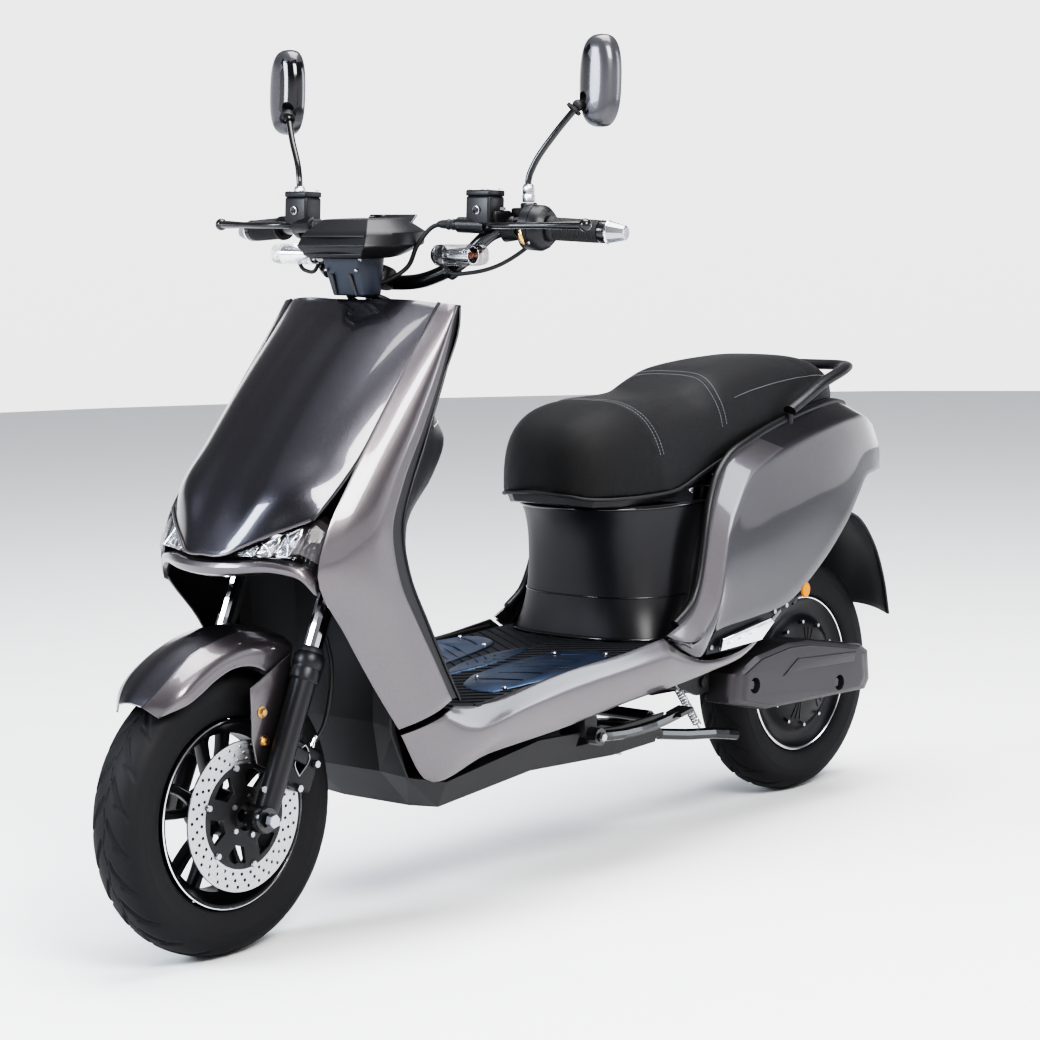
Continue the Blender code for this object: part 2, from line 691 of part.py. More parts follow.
# ---------------------------------------------------------------- front body
SHIELD_LEVELS = (  # front edge (x, y, z) and rear edge (x, y, z) of the silver side band
    ((0.150, -0.350, 0.904), (0.170, -0.335, 0.897)),
    ((0.153, -0.417, 0.832), (0.177, -0.378, 0.812)),
    ((0.155, -0.485, 0.752), (0.181, -0.423, 0.735)),
    ((0.158, -0.552, 0.672), (0.184, -0.474, 0.655)),
    ((0.160, -0.603, 0.603), (0.186, -0.499, 0.592)),
    ((0.158, -0.622, 0.541), (0.185, -0.488, 0.530)),
    ((0.150, -0.562, 0.449), (0.182, -0.446, 0.451)),
    ((0.153, -0.513, 0.371), (0.180, -0.412, 0.396)),
    ((0.158, -0.468, 0.303), (0.178, -0.376, 0.334)),
)
SKIRT_LEVELS = (  # top edge (x, y, z) and foot edge (x, y, z) of the floor skirt
    ((0.178, -0.371, 0.325), (0.157, -0.463, 0.294)),
    ((0.180, -0.318, 0.318), (0.158, -0.417, 0.223)),
    ((0.181, -0.201, 0.331), (0.170, -0.288, 0.240)), ((0.181, -0.094, 0.341), (0.173, -0.115, 0.252)),
    ((0.181, 0.020, 0.347), (0.174, 0.043, 0.268)), ((0.180, 0.117, 0.3565), (0.174, 0.140, 0.274)),
    ((0.179, 0.160, 0.330), (0.174, 0.190, 0.2785)), ((0.178, 0.214, 0.3085), (0.173, 0.249, 0.284)),
    ((0.174, 0.340, 0.3100), (0.170, 0.345, 0.298)), ((0.170, 0.442, 0.3600), (0.166, 0.450, 0.352)),
)


def front_body():
    made = [front_panel(), inner_shield(), nose_bar()]
    for side_name, side in SIDES:
        made += [front_band(side_name, side), floor_skirt(side_name, side),
                 headlamp(side_name, side)]
    return made


def front_panel():
    """The broad crowned shield, narrow at its foot, where its lower edges run up to the lamps."""
    foot_half, foot_y, foot_z = 0.035, -0.686, 0.569
    rows = []
    for centre, edge, swell in (
            ((0, -0.380, 0.908), (0.1465, -0.352, 0.9035), 0.004),
            ((0, -0.452, 0.850), (0.1500, -0.408, 0.838), 0.007),
            ((0, -0.520, 0.785), (0.1520, -0.468, 0.768), 0.009),
            ((0, -0.590, 0.708), (0.1520, -0.530, 0.695), 0.010),
            ((0, -0.650, 0.632), (0.1470, -0.583, 0.645), 0.010),
            ((0, foot_y, foot_z), (0.1390, -0.612, 0.617), 0.002)):
        centre, edge = Vector(centre), Vector(edge)
        near = Vector((foot_half, centre.y + 0.002, centre.z))
        half = [centre, near]
        for t in (0.25, 0.5, 0.75, 0.92, 1.0):
            bulge = swell * 4 * t * (1 - t) * 2.2
            half.append(lerp(near, edge, t) + Vector((0.3 * bulge, -0.75 * bulge, 0.35 * bulge)))
        rows.append(flip(half[:0:-1], -1) + half)
    return keep(panel("front_panel", rows, SHELL, (0, -0.30, 0.62)), "gunmetal_paint")


def front_band(side_name, side):
    """The silver side of the leg shield, folded along its middle."""
    rows = []
    for front, rear in SHIELD_LEVELS:
        row = [Vector(front), lerp(front, rear, 0.3) + Vector((0.009, 0, 0)),
               lerp(front, rear, 0.65) + Vector((0.010, 0, 0)), Vector(rear)]
        rows.append(flip(row, side))
    return keep(panel(f"front_band_{side_name}", rows, SHELL, (0, -0.45, 0.55)), "silver_paint")


def floor_skirt(side_name, side):
    """The silver skirt along the foot deck, from the leg shield to the rear body."""
    rows = []
    for top, foot in SKIRT_LEVELS:
        top, foot = Vector(top), Vector(foot)
        swell = 0.12 * (top - foot).length
        rows.append(flip([top, lerp(top, foot, 0.35) + Vector((swell, 0, 0)),
                          lerp(top, foot, 0.75) + Vector((swell * 0.8, 0, 0)), foot], side))
    return keep(panel(f"floor_skirt_{side_name}", rows, SHELL, (0, -0.15, 0.29)), "silver_paint")


def inner_shield():
    """The black inner side of the leg shield, with its glove pocket and closed top."""
    levels = (  # z, y at the middle, y at the edge, half width
        (0.8985, -0.366, -0.346, 0.142), (0.8990, -0.282, -0.322, 0.1655),
        (0.870, -0.268, -0.330, 0.1700), (0.800, -0.290, -0.368, 0.1730),
        (0.745, -0.292, -0.398, 0.1760), (0.700, -0.262, -0.424, 0.1790),
        (0.650, -0.288, -0.452, 0.1805), (0.590, -0.352, -0.472, 0.1815),
        (0.530, -0.372, -0.460, 0.1805), (0.450, -0.368, -0.420, 0.1785),
        (0.395, -0.352, -0.390, 0.1770), (0.3300, -0.345, -0.352, 0.1750))
    rows = []
    for z, middle, edge, half in levels:
        row = []
        for t in (-1, -0.72, -0.42, 0, 0.42, 0.72, 1):
            blend = 1 - abs(t) ** 2.2 if abs(t) > 0.5 else 1 - 0.1 * abs(t)
            row.append(Vector((half * t, edge + (middle - edge) * max(0, min(1, blend)), z)))
        rows.append(row)
    shield = panel("inner_shield", rows, 0.0028, (0, -0.50, 0.62))
    cut(shield, rod("stem_hole", on_steering(0.87), on_steering(0.94), 0.030, segments=20))
    return keep(shield, "black_plastic")


def nose_bar():
    """The silver lip under the lamps, from one side band to the other."""
    stations = ((0, -0.694, 0.562, 0.538, 0.05), (0.050, -0.688, 0.563, 0.540, 0.05),
                (0.110, -0.660, 0.562, 0.543, 0.030), (0.138, -0.641, 0.553, 0.533, 0.020),
                (0.1510, -0.6270, 0.534, 0.512, 0.010))
    half = []
    for x, y, top, foot, depth in stations:
        half.append([(x, y + 0.012, top), (x, y, lerp_1d(top, foot, 0.35)),
                     (x, y + 0.003, lerp_1d(top, foot, 0.8)), (x, y + 0.012, foot),
                     (x, y + depth, foot + 0.002), (x, y + depth, top)])
    rings = [flip(ring, -1) for ring in half[:0:-1]] + [flip(ring, 1) for ring in half]
    return keep(loft("nose_bar", rings), "silver_paint")


def headlamp(side_name, side):
    """A three-cornered lamp between the shield, the lip and the side band."""
    face = [(0.046, -0.6795, 0.5680), (0.136, -0.6125, 0.6140), (0.1535, -0.6020, 0.6010),
            (0.1500, -0.6240, 0.5480), (0.1420, -0.6370, 0.5600), (0.1320, -0.6480, 0.5675)]
    back = [Vector(p) + Vector((-0.014 if p[0] > 0.13 else 0, 0.045, 0.004)) for p in face]
    return keep(loft(f"headlamp_{side_name}", [flip(face, side), flip(back, side)]), "clear_lens")


# ---------------------------------------------------------------- deck and belly
def deck():
    """Foot deck with raised ribs left to the finish, battery tray under it, and belly."""
    half = 0.1745
    rings = []
    for y, z in ((-0.341, 0.3120), (-0.300, 0.3130), (-0.094, 0.3320), (0.040, 0.3390),
                 (0.200, 0.3440)):
        rings.append([(-half, y, z - 0.014), (half, y, z - 0.014), (half, y, z), (-half, y, z)])
    board = keep(loft("floor_board", rings), "deck_rubber")

    path = ((-0.433, 0.520, 0.160), (-0.430, 0.430, 0.150), (-0.434, 0.300, 0.150),
            (-0.420, 0.225, 0.146), (-0.352, 0.161, 0.132), (-0.150, 0.180, 0.138),
            (0.050, 0.170, 0.136), (0.165, 0.172, 0.130))
    rows = []
    for y, z, half_x in path:
        lift = max(0.0, min(1.0, (y + 0.40) / 0.06))
        lean = 0.045 * (1 - lift) * min(1.0, max(0.0, (z - 0.17) / 0.12))
        row = [Vector((half_x + 0.012 * lift, y - lean, z + 0.055 * lift)),
               Vector((half_x * 0.94, y - lean * 0.6, z + 0.006 * lift)),
               Vector((half_x * 0.5, y, z)), Vector((0, y, z))]
        rows.append(row + flip(row[-2::-1], -1))
    belly = keep(panel("belly_pan", rows, 0.003, (0, -0.10, 0.36)), "black_plastic")
    cut(belly, block("stand_notch", (0.060, 0.036, 0.060), SIDE_STAND_PIVOT + STAND_LUG_OFFSET))
    return [board, belly]


# ---------------------------------------------------------------- rear body
REAR_EDGE = (  # top edge (x, y, z) and foot edge (x, y, z) of the rear side panel
    ((0.1800, 0.126, 0.3590), (0.1795, 0.131, 0.3520)),
    ((0.1815, 0.180, 0.3830), (0.1790, 0.170, 0.3290)),
    ((0.1815, 0.211, 0.4200), (0.1780, 0.216, 0.3130)),
    ((0.1800, 0.229, 0.4680), (0.1790, 0.240, 0.3350)),
    ((0.1770, 0.247, 0.5280), (0.1790, 0.262, 0.3500)),
    ((0.1720, 0.270, 0.5730), (0.1785, 0.360, 0.3580)),
    ((0.1660, 0.308, 0.6120), (0.1760, 0.455, 0.3690)),
    ((0.1600, 0.370, 0.6350), (0.1700, 0.560, 0.4200)),
    ((0.1500, 0.448, 0.6530), (0.1620, 0.645, 0.4780)),
    ((0.1360, 0.550, 0.6680), (0.1480, 0.705, 0.5220)),
    ((0.1180, 0.645, 0.6760), (0.1310, 0.755, 0.5480)),
    ((0.0960, 0.730, 0.6740), (0.1110, 0.810, 0.5500)),
    ((0.0720, 0.790, 0.6520), (0.0850, 0.862, 0.5480)),
)


def rear_body():
    made = [seat_box(), grab_rail(), tail_lamp(), rear_mudguard()]
    for side_name, side in SIDES:
        rows = []
        for top, foot in REAR_EDGE:
            top, foot = Vector(top), Vector(foot)
            fall = (foot - top).normalized()
            crease = top + Vector((0.012, 0.030, 0)) + fall * 0.030
            row = [top, crease, lerp(crease, foot, 0.5) + Vector((0.006, 0, 0)), foot]
            rows.append(flip(row, side))
        made.append(keep(panel(f"rear_panel_{side_name}", rows, SHELL, (0, 0.42, 0.48)),
                         "gunmetal_paint"))
    return made


def seat_box():
    """The open-topped box under the seat: its black front and its side walls."""
    levels = ((0.3460, 0.148, 0.128, 0.176), (0.400, 0.144, 0.120, 0.220),
              (0.4600, 0.142, 0.118, 0.238), (0.5300, 0.146, 0.130, 0.262),
              (0.5580, 0.150, 0.146, 0.280))
    rows = []
    for z, half_x, reach, wing_y in levels:
        wing_x = 0.1745 - 0.006 * (z - 0.34) / 0.2
        row = [Vector((wing_x, wing_y + 0.010, z)), Vector((half_x + 0.006, wing_y, z))]
        for i in range(13):
            angle = pi * i / 12
            c, s = cos(angle), sin(angle)
            row.append(Vector((half_x * abs(c) ** 0.72 * (1 if c >= 0 else -1),
                               wing_y - 0.010 - (reach + wing_y - 0.235) * abs(s) ** 0.85, z)))
        row += flip(row[1::-1], -1)
        rows.append(row)
    return keep(panel("seat_box", rows, 0.003, (0, 0.30, 0.45)), "black_plastic")


SEAT_STATIONS = (  # y, foot z, top z, half width
    (0.028, 0.592, 0.636, 0.040), (0.038, 0.580, 0.664, 0.068), (0.060, 0.575, 0.690, 0.096),
    (0.105, 0.574, 0.711, 0.122), (0.165, 0.575, 0.717, 0.136), (0.215, 0.579, 0.717, 0.141),
    (0.262, 0.594, 0.717, 0.141), (0.310, 0.609, 0.722, 0.139), (0.350, 0.620, 0.737, 0.137),
    (0.390, 0.630, 0.751, 0.134), (0.440, 0.641, 0.758, 0.131), (0.520, 0.653, 0.763, 0.124),
    (0.600, 0.662, 0.763, 0.116), (0.680, 0.670, 0.754, 0.102), (0.722, 0.682, 0.738, 0.082))


def seat():
    """The seat hinges at its nose: a moulded base with a padded cover on it."""
    rings = []
    for y, foot, top, half in SEAT_STATIONS:
        ring = []
        for i in range(9):
            angle = pi * i / 8
            c, s = cos(angle), sin(angle)
            ring.append((half * abs(c) ** 0.55 * (1 if c >= 0 else -1), y,
                         foot + (top - foot) * s ** 0.7))
        rings.append(ring)
    cushion = keep(loft("seat_cushion", rings), "seat_cover")

    rings = []
    for y, foot, _, half in SEAT_STATIONS[1:-1]:
        inset = half - 0.012
        rings.append([(-inset, y + 0.004, foot - 0.014), (inset, y + 0.004, foot - 0.014),
                      (half - 0.006, y + 0.004, foot - 0.0015),
                      (-half + 0.006, y + 0.004, foot - 0.0015)])
    base = keep(loft("seat_base", rings), "black_plastic")
    hinge = pivot("seat_pivot", SEAT_HINGE)
    hang(hinge, cushion, base)
    return hinge


def grab_rail():
    """The passenger's rail: a loop behind the seat on two feet."""
    half = [(0.143, 0.512, 0.680), (0.1465, 0.548, 0.697), (0.145, 0.595, 0.716),
            (0.130, 0.685, 0.735), (0.092, 0.742, 0.737), (0, 0.762, 0.736)]
    route = half + [(-x, y, z) for x, y, z in half[-2::-1]]
    rail = solid_tube("grab_rail", route, 0.0105, 2, 2)
    for _, side in SIDES:
        join(rail, rod("rail_foot", (0.1335 * side, 0.522, 0.684), (0.1320 * side, 0.522, 0.628),
                       0.0045, segments=8))
    return keep(rail, "gloss_black")


def tail_lamp():
    """The wedge-shaped tail, between the ends of the two side panels."""
    rings = []
    for x in (-0.066, -0.030, 0.030, 0.066):
        near = 1 - (abs(x) / 0.075) ** 2
        rings.append([(x, 0.720, 0.668), (x, 0.778, 0.660), (x, 0.828 + 0.014 * near, 0.620),
                      (x, 0.866 + 0.012 * near, 0.556), (x, 0.840, 0.544), (x, 0.720, 0.556)])
    return keep(loft("tail_lamp", rings), "red_lens")


def rear_mudguard():
    """The black flap under the tail."""
    rows = []
    for y, z, half in ((0.640, 0.500, 0.085), (0.730, 0.502, 0.088), (0.805, 0.484, 0.092),
                       (0.850, 0.435, 0.094), (0.878, 0.370, 0.096), (0.900, 0.300, 0.092)):
        rows.append([Vector((x, y - 0.020 * (abs(x) / half) ** 2, z - 0.012 * (abs(x) / half) ** 2))
                     for x in (-half, -half * 0.6, 0, half * 0.6, half)])
    return keep(panel("rear_mudguard", rows, 0.004, REAR_AXLE), "black_plastic")


# ---------------------------------------------------------------- frame and inner parts
def chassis():
    """The tube frame, the battery in the seat box and the motor controller."""
    spine = [tuple(on_steering(0.700)), (0, -0.404, 0.560), (0, -0.398, 0.400), (0, -0.380, 0.290),
             (0, -0.330, 0.262)]
    frame = rod("main_frame", on_steering(0.640), on_steering(0.860), 0.0265, segments=16)
    join(frame, solid_tube("down_tube", spine, 0.019, 2, 3))
    join(frame, rod("front_cross_tube", (-0.112, -0.330, 0.262), (0.112, -0.330, 0.262), 0.017))
    for side_name, side in SIDES:
        rail = flip([(0.100, -0.345, 0.262), (0.100, -0.150, 0.262), (0.100, 0.050, 0.262),
                     (0.104, 0.230, 0.275), (0.120, 0.320, 0.380), (0.128, 0.385, 0.520),
                     (0.120, 0.480, 0.610), (0.080, 0.680, 0.622)], side)
        join(frame, solid_tube(f"floor_rail_{side_name}", rail, 0.0135, 2, 2))
    for label, y, z, half in (("pivot", 0.262, 0.300, 0.112), ("shock", 0.470, 0.600, 0.122),
                              ("tail", 0.668, 0.622, 0.085)):
        join(frame, rod(f"{label}_cross_tube", (-half, y, z), (half, y, z), 0.012))
    for _, side in SIDES:
        join(frame, side_plate("pivot_ear", [(0.232, 0.318), (0.262, 0.322), (0.335, 0.268),
                                             (0.332, 0.232), (0.300, 0.230), (0.225, 0.262)],
                               0.0965 * side, 0.1045 * side))
    join(frame, block("stand_lug", (0.050, 0.030, 0.030),
                      SIDE_STAND_PIVOT + STAND_LUG_OFFSET + Vector((-0.0015, 0, 0))))
    cut(frame, rod("stem_bore", on_steering(0.60), on_steering(0.90), 0.0145, segments=16))
    cut(frame, rod("pivot_bore", (-0.13, *SWING_PIVOT[1:]), (0.13, *SWING_PIVOT[1:]), 0.0088,
                   segments=12))
    keep(frame, "frame_steel")
    battery = keep(block("battery", (0.190, 0.225, 0.190), (0, 0.252, 0.4410), None, 0.006),
                   "black_plastic")
    controller = keep(block("controller", (0.140, 0.120, 0.036), (0, 0.575, 0.5820), None, 0.003),
                      "steel")
    return [frame, battery, controller]


# ---------------------------------------------------------------- rear suspension
ARM_X = 0.078
SHOCK_TOP = Vector((0, 0.4700, 0.6000))
SHOCK_FOOT = Vector((0, 0.415, 0.330))


def swing_arm():
    """Two arms from the pivot tube to the axle, and their side covers."""
    arm = rod("swing_arm", (-0.0955, *SWING_PIVOT[1:]), (0.0955, *SWING_PIVOT[1:]), 0.019)
    join(arm, rod("pivot_pin", (-0.109, *SWING_PIVOT[1:]), (0.109, *SWING_PIVOT[1:]), 0.0084,
                  segments=12))
    for side_name, side in SIDES:
        outline = [(0.300, 0.268), (0.420, 0.262), (0.680, 0.232), (0.722, 0.216), (0.722, 0.188),
                   (0.690, 0.178), (0.420, 0.208), (0.300, 0.232)]
        join(arm, side_plate(f"arm_{side_name}", outline, (ARM_X - 0.012) * side,
                             (ARM_X + 0.012) * side))
    join(arm, rod("arm_bridge", (-ARM_X, 0.418, 0.243), (ARM_X, 0.418, 0.243), 0.014))
    for _, side in SIDES:
        join(arm, side_plate("shock_ear", [(0.402, 0.243), (0.434, 0.243), (0.430, 0.306),
                                           (0.420, 0.322), (0.410, 0.322), (0.400, 0.306)],
                             0.012 * side, 0.018 * side))
    cut(arm, rod("axle_flat_left", (0.0505, *REAR_AXLE[1:]), (0.067, *REAR_AXLE[1:]), 0.024))
    cut(arm, rod("axle_flat_right", (-0.067, *REAR_AXLE[1:]), (-0.0505, *REAR_AXLE[1:]), 0.024))
    hinge = pivot("swing_arm_pivot", SWING_PIVOT)
    hang(hinge, keep(arm, "frame_steel"))
    for side_name, side in SIDES:
        outline = [(0.338, 0.214), (0.346, 0.262), (0.400, 0.284), (0.494, 0.294), (0.560, 0.290),
                   (0.722, 0.260), (0.746, 0.246), (0.750, 0.196), (0.736, 0.180), (0.430, 0.190)]
        rings = []
        for x, shrink in ((0.0910, 1.0), (0.1290, 1.0), (0.1440, 0.93), (0.1485, 0.80)):
            middle = Vector((0.545, 0.232))
            rings.append([Vector((x * side, *(middle + (Vector(p) - middle) * shrink)))
                          for p in outline])
        cover = keep(loft(f"swing_cover_{side_name}", rings), "grey_satin")
        hang(hinge, cover)
    return hinge


def shock():
    """One spring and damper from the frame down to the arm; its lower eye is the open pivot."""
    run = (SHOCK_FOOT - SHOCK_TOP).normalized()
    top_eye, foot_eye = SHOCK_TOP, SHOCK_FOOT
    body = rod("shock_body", top_eye + run * 0.022, top_eye + run * 0.125, 0.0145)
    join(body, rod("top_collar", top_eye + run * 0.030, top_eye + run * 0.038, 0.0265))
    join(body, rod("top_eye", top_eye + Vector((-0.016, 0, 0)), top_eye + Vector((0.016, 0, 0)),
                   0.0225))
    cut(body, rod("top_bore", top_eye + Vector((-0.03, 0, 0)), top_eye + Vector((0.03, 0, 0)),
                  0.0128))
    cut(body, rod("damper_bore", top_eye + run * 0.060, top_eye + run * 0.14, 0.0078))
    keep(body, "gloss_black")
    lower = rod("shock_rod", top_eye + run * 0.088, foot_eye - run * 0.006, 0.0068, segments=12)
    join(lower, rod("foot_eye", foot_eye + Vector((-0.0105, 0, 0)),
                    foot_eye + Vector((0.0105, 0, 0)), 0.0125),
         rod("foot_collar", foot_eye - run * 0.030, foot_eye - run * 0.022, 0.0265))
    keep(lower, "steel")
    start = top_eye + run * 0.0392
    end = foot_eye - run * 0.0314
    side_a = Vector((1, 0, 0))
    side_b = run.cross(side_a)
    turns, per_turn, reach = 5, 8, 0.0215
    coil = []
    for i in range(turns * per_turn + 1):
        t = i / (turns * per_turn)
        angle = 2 * pi * turns * t
        coil.append(lerp(start + run * 0.0042, end - run * 0.0042, t)
                    + (side_a * cos(angle) + side_b * sin(angle)) * reach)
    spring = keep(tube("shock_spring", coil, 0.0038, 1, 1), "silver_paint")
    swing = pivot("shock_pivot", SHOCK_TOP)
    slide = pivot("shock_rod_pivot", SHOCK_FOOT)
    hang(slide, lower)
    hang(swing, body, spring, slide)
    return swing


# ---------------------------------------------------------------- stands and foot plates


def stands():
    foot = SIDE_STAND_PIVOT
    side = solid_tube("side_stand", [foot + Vector((0.004, 0, 0)),
                                     foot + Vector((0.012, 0.055, -0.004)),
                                     foot + Vector((0.014, 0.130, -0.002)),
                                     foot + Vector((0.014, 0.188, 0.006))], 0.0085, 2, 2)
    join(side, rod("stand_eye", foot + Vector((-0.006, 0, 0)), foot + Vector((0.013, 0, 0)), 0.014),
         block("stand_foot", (0.030, 0.034, 0.006), foot + Vector((0.016, 0.194, 0.010)),
               (radians(10), 0, 0)))
    side_axis = pivot("side_stand_pivot", foot)
    hang(side_axis, keep(side, "gloss_black"))

    axis = CENTRE_STAND_PIVOT
    centre = rod("centre_stand", axis + Vector((-0.082, 0, 0)), axis + Vector((0.082, 0, 0)), 0.010)
    for _, way in SIDES:
        leg = solid_tube("stand_leg", [
            axis + Vector((0.070 * way, 0, 0)), axis + Vector((0.076 * way, 0.030, -0.034)),
            axis + Vector((0.094 * way, 0.150, -0.050)), axis + Vector((0.108 * way, 0.196, -0.058))],
            0.0095, 2, 2)
        join(centre, leg)
    join(centre, rod("leg_brace", axis + Vector((-0.078, 0.050, -0.037)),
                     axis + Vector((0.078, 0.050, -0.037)), 0.008))
    centre_axis = pivot("centre_stand_pivot", axis)
    hang(centre_axis, keep(centre, "gloss_black"))
    return [side_axis, centre_axis]


PEG_HINGE_Z = 0.3130


def passenger_plates():
    """The passenger's foot plates, folded up flat against the body."""
    made = []
    for side_name, side in SIDES:
        corners = [(0.262, 0.3160), (0.372, 0.3190), (0.408, 0.3440), (0.397, 0.3520),
                   (0.268, 0.3350)]
        plate = side_plate(f"passenger_plate_{side_name}", corners, 0.1768 * side, 0.1838 * side)
        bevel(plate, 0.0015)
        axis = pivot(f"passenger_plate_{side_name}_pivot",
                     (0.1835 * side, 0.300, PEG_HINGE_Z + 0.006))
        hang(axis, keep(plate, "chrome"))
        made.append(axis)
    return made


# ---------------------------------------------------------------- assembly
def build():
    clear_scene()
    chassis()
    front_body()
    deck()
    rear_body()
    seat()
    stands()
    passenger_plates()
    steering = pivot("steering_pivot", on_steering(0.75))
    lower, upper = fork()
    hang(lower, front_wheel())
    fixed, moving = handlebar_parts()
    hang(steering, lower, upper, *fixed, *moving)
    arm = swing_arm()
    hang(arm, rear_wheel())
    shock()
    bpy.context.view_layer.update()


build()
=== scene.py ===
"""Finished look of a step-through moped scooter, built on its CAD frame.

Metres throughout: +Z up, the scooter faces -Y, the rider's left is +X.
"""

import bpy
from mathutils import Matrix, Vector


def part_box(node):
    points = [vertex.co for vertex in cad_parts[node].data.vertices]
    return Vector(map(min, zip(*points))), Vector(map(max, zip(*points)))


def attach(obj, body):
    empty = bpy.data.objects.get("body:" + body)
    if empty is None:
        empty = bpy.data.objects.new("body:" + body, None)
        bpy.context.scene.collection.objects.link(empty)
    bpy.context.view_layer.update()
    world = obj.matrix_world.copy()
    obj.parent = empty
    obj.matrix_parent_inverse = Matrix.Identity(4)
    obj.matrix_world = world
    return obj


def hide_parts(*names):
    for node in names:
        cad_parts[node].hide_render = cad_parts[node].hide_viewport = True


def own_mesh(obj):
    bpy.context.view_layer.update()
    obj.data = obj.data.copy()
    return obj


bl_info = {"name": "Moped Scooter Finish", "version": (1, 0, 0), "blender": (4, 5, 0), "location":
    "3D View > Sidebar > Scooter", "description":
    "Panels, wheels, cockpit, seat and lamps of a moped scooter", "category": "Object",}

from math import cos, pi, radians, sin, tan

import bmesh
import bpy
import numpy as np
from bpy.props import FloatProperty, FloatVectorProperty, IntProperty, PointerProperty
from bpy.types import Operator, Panel, PropertyGroup
from mathutils import Euler, Matrix, Vector

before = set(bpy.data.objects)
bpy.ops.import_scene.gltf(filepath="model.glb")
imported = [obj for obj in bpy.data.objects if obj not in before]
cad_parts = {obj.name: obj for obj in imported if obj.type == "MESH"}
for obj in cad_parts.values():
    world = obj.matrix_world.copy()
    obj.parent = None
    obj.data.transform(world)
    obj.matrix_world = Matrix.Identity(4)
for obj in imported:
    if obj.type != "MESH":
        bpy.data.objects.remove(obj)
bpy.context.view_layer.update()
SIDES = (("left", 1), ("right", -1))

FRONT_AXLE = Vector((0, -.6835, .205))
REAR_AXLE = Vector((0, .6835, .205))
RAKE = radians(25)
STEER = Vector((0, sin(RAKE), cos(RAKE)))
LEG_FOOT = Vector((0, -.6745, .205))
LEG_X = .092


# ---------------------------------------------------------------- curves and grids
def resampled(points, per_span, sharp=()):
    """Rows refined along their first axis by a smooth curve through them; sharp rows keep their fold."""
    p = np.array(points, float)
    count = len(p)
    step = p[1:] - p[:-1]
    length = np.sqrt((step ** 2).sum(-1)).reshape(count - 1, -1).mean(1)
    length = np.maximum(length, 1e-6)
    shape = (count - 1,) + (1,) * (p.ndim - 1)
    slope = step / length.reshape(shape)
    before, after = np.zeros_like(p), np.zeros_like(p)
    for i in range(count):
        if i == 0:
            before[i] = after[i] = slope[0]
        elif i == count - 1:
            before[i] = after[i] = slope[-1]
        elif i in sharp:
            before[i], after[i] = slope[i - 1], slope[i]
        else:
            a, b = length[i - 1], length[i]
            before[i] = after[i] = (b * slope[i - 1] + a * slope[i]) / (a + b)
    rows = []
    for i in range(count - 1):
        for k in range(per_span):
            t = k / per_span
            h = length[i]
            rows.append((2 * t ** 3 - 3 * t ** 2 + 1) * p[i] + (t ** 3 - 2 * t ** 2 + t) * h * after[i]
                + (3 * t ** 2 - 2 * t ** 3) * p[i + 1] + (t ** 3 - t ** 2) * h * before[i + 1])
    rows.append(p[-1])
    return np.array(rows)


def fine_grid(rows, along, across, fold_rows=(), fold_columns=()):
    """A grid of control rows refined both ways."""
    grid = resampled(rows, along, fold_rows)
    turned_grid = resampled(np.swapaxes(grid, 0, 1), across, fold_columns)
    return np.swapaxes(turned_grid, 0, 1)


def mirrored(points, side):
    """Points on the rider's left (side 1) or right (side -1)."""
    flat = np.array(points, float)
    flat[..., 0] *= side
    return flat


def mixed(a, b, t):
    return a * (1 - t) + b * t


# ---------------------------------------------------------------- mesh helpers
def new_piece(name, mesh):
    piece = bpy.data.objects.new(name, mesh)
    bpy.context.scene.collection.objects.link(piece)
    return piece


def from_bmesh(name, bm, angle=35, turn_out=True):
    """A mesh object with its faces turned outwards and edges over an angle kept crisp."""
    if turn_out:
        bmesh.ops.recalc_face_normals(bm, faces=bm.faces)
    mesh = bpy.data.meshes.new(name)
    bm.to_mesh(mesh)
    bm.free()
    mesh.shade_smooth()
    mesh.set_sharp_from_angle(angle=radians(angle))
    return new_piece(name, mesh)


def settled(piece, angle=35):
    """Applies a piece's modifiers and place to its mesh."""
    bpy.context.view_layer.update()
    depsgraph = bpy.context.evaluated_depsgraph_get()
    mesh = bpy.data.meshes.new_from_object(piece.evaluated_get(depsgraph))
    mesh.transform(piece.matrix_world)
    piece.modifiers.clear()
    piece.parent = None
    piece.matrix_world = Matrix.Identity(4)
    piece.data = mesh
    mesh.name = piece.name
    if angle:
        mesh.shade_smooth()
        mesh.set_sharp_from_angle(angle=radians(angle))
    return piece


def shell(name, grid, wall, inward, edge=.0006, angle=40):
    """An open sheet given a wall on the side of an inward point, with softened rims and its own UV map."""
    rows, columns = grid.shape[:2]
    bm = bmesh.new()
    uv = bm.loops.layers.uv.new("UVMap")
    points = [[bm.verts.new(grid[i, j]) for j in range(columns)] for i in range(rows)]
    for i in range(rows - 1):
        for j in range(columns - 1):
            corners = ((i, j), (i, j + 1), (i + 1, j + 1), (i + 1, j))
            face = bm.faces.new([points[a][b] for a, b in corners])
            for loop, (a, b) in zip(face.loops, corners):
                loop[uv].uv = (b / (columns - 1), a / (rows - 1))
    bmesh.ops.remove_doubles(bm, verts=bm.verts, dist=1e-6)
    bm.normal_update()
    inner = Vector(inward)
    facing = sum((f.calc_center_median() - inner).dot(f.normal) * f.calc_area() for f in bm.faces)
    if facing < 0:
        bmesh.ops.reverse_faces(bm, faces=bm.faces)
    piece = from_bmesh(name, bm, angle, turn_out=False)
    thick = piece.modifiers.new("wall", "SOLIDIFY")
    thick.thickness = wall
    thick.offset = -1
    if edge:
        soft = piece.modifiers.new("rim", "BEVEL")
        soft.width = edge
        soft.segments = 2
        soft.limit_method = "ANGLE"
        soft.angle_limit = radians(60)
    return settled(piece, angle)


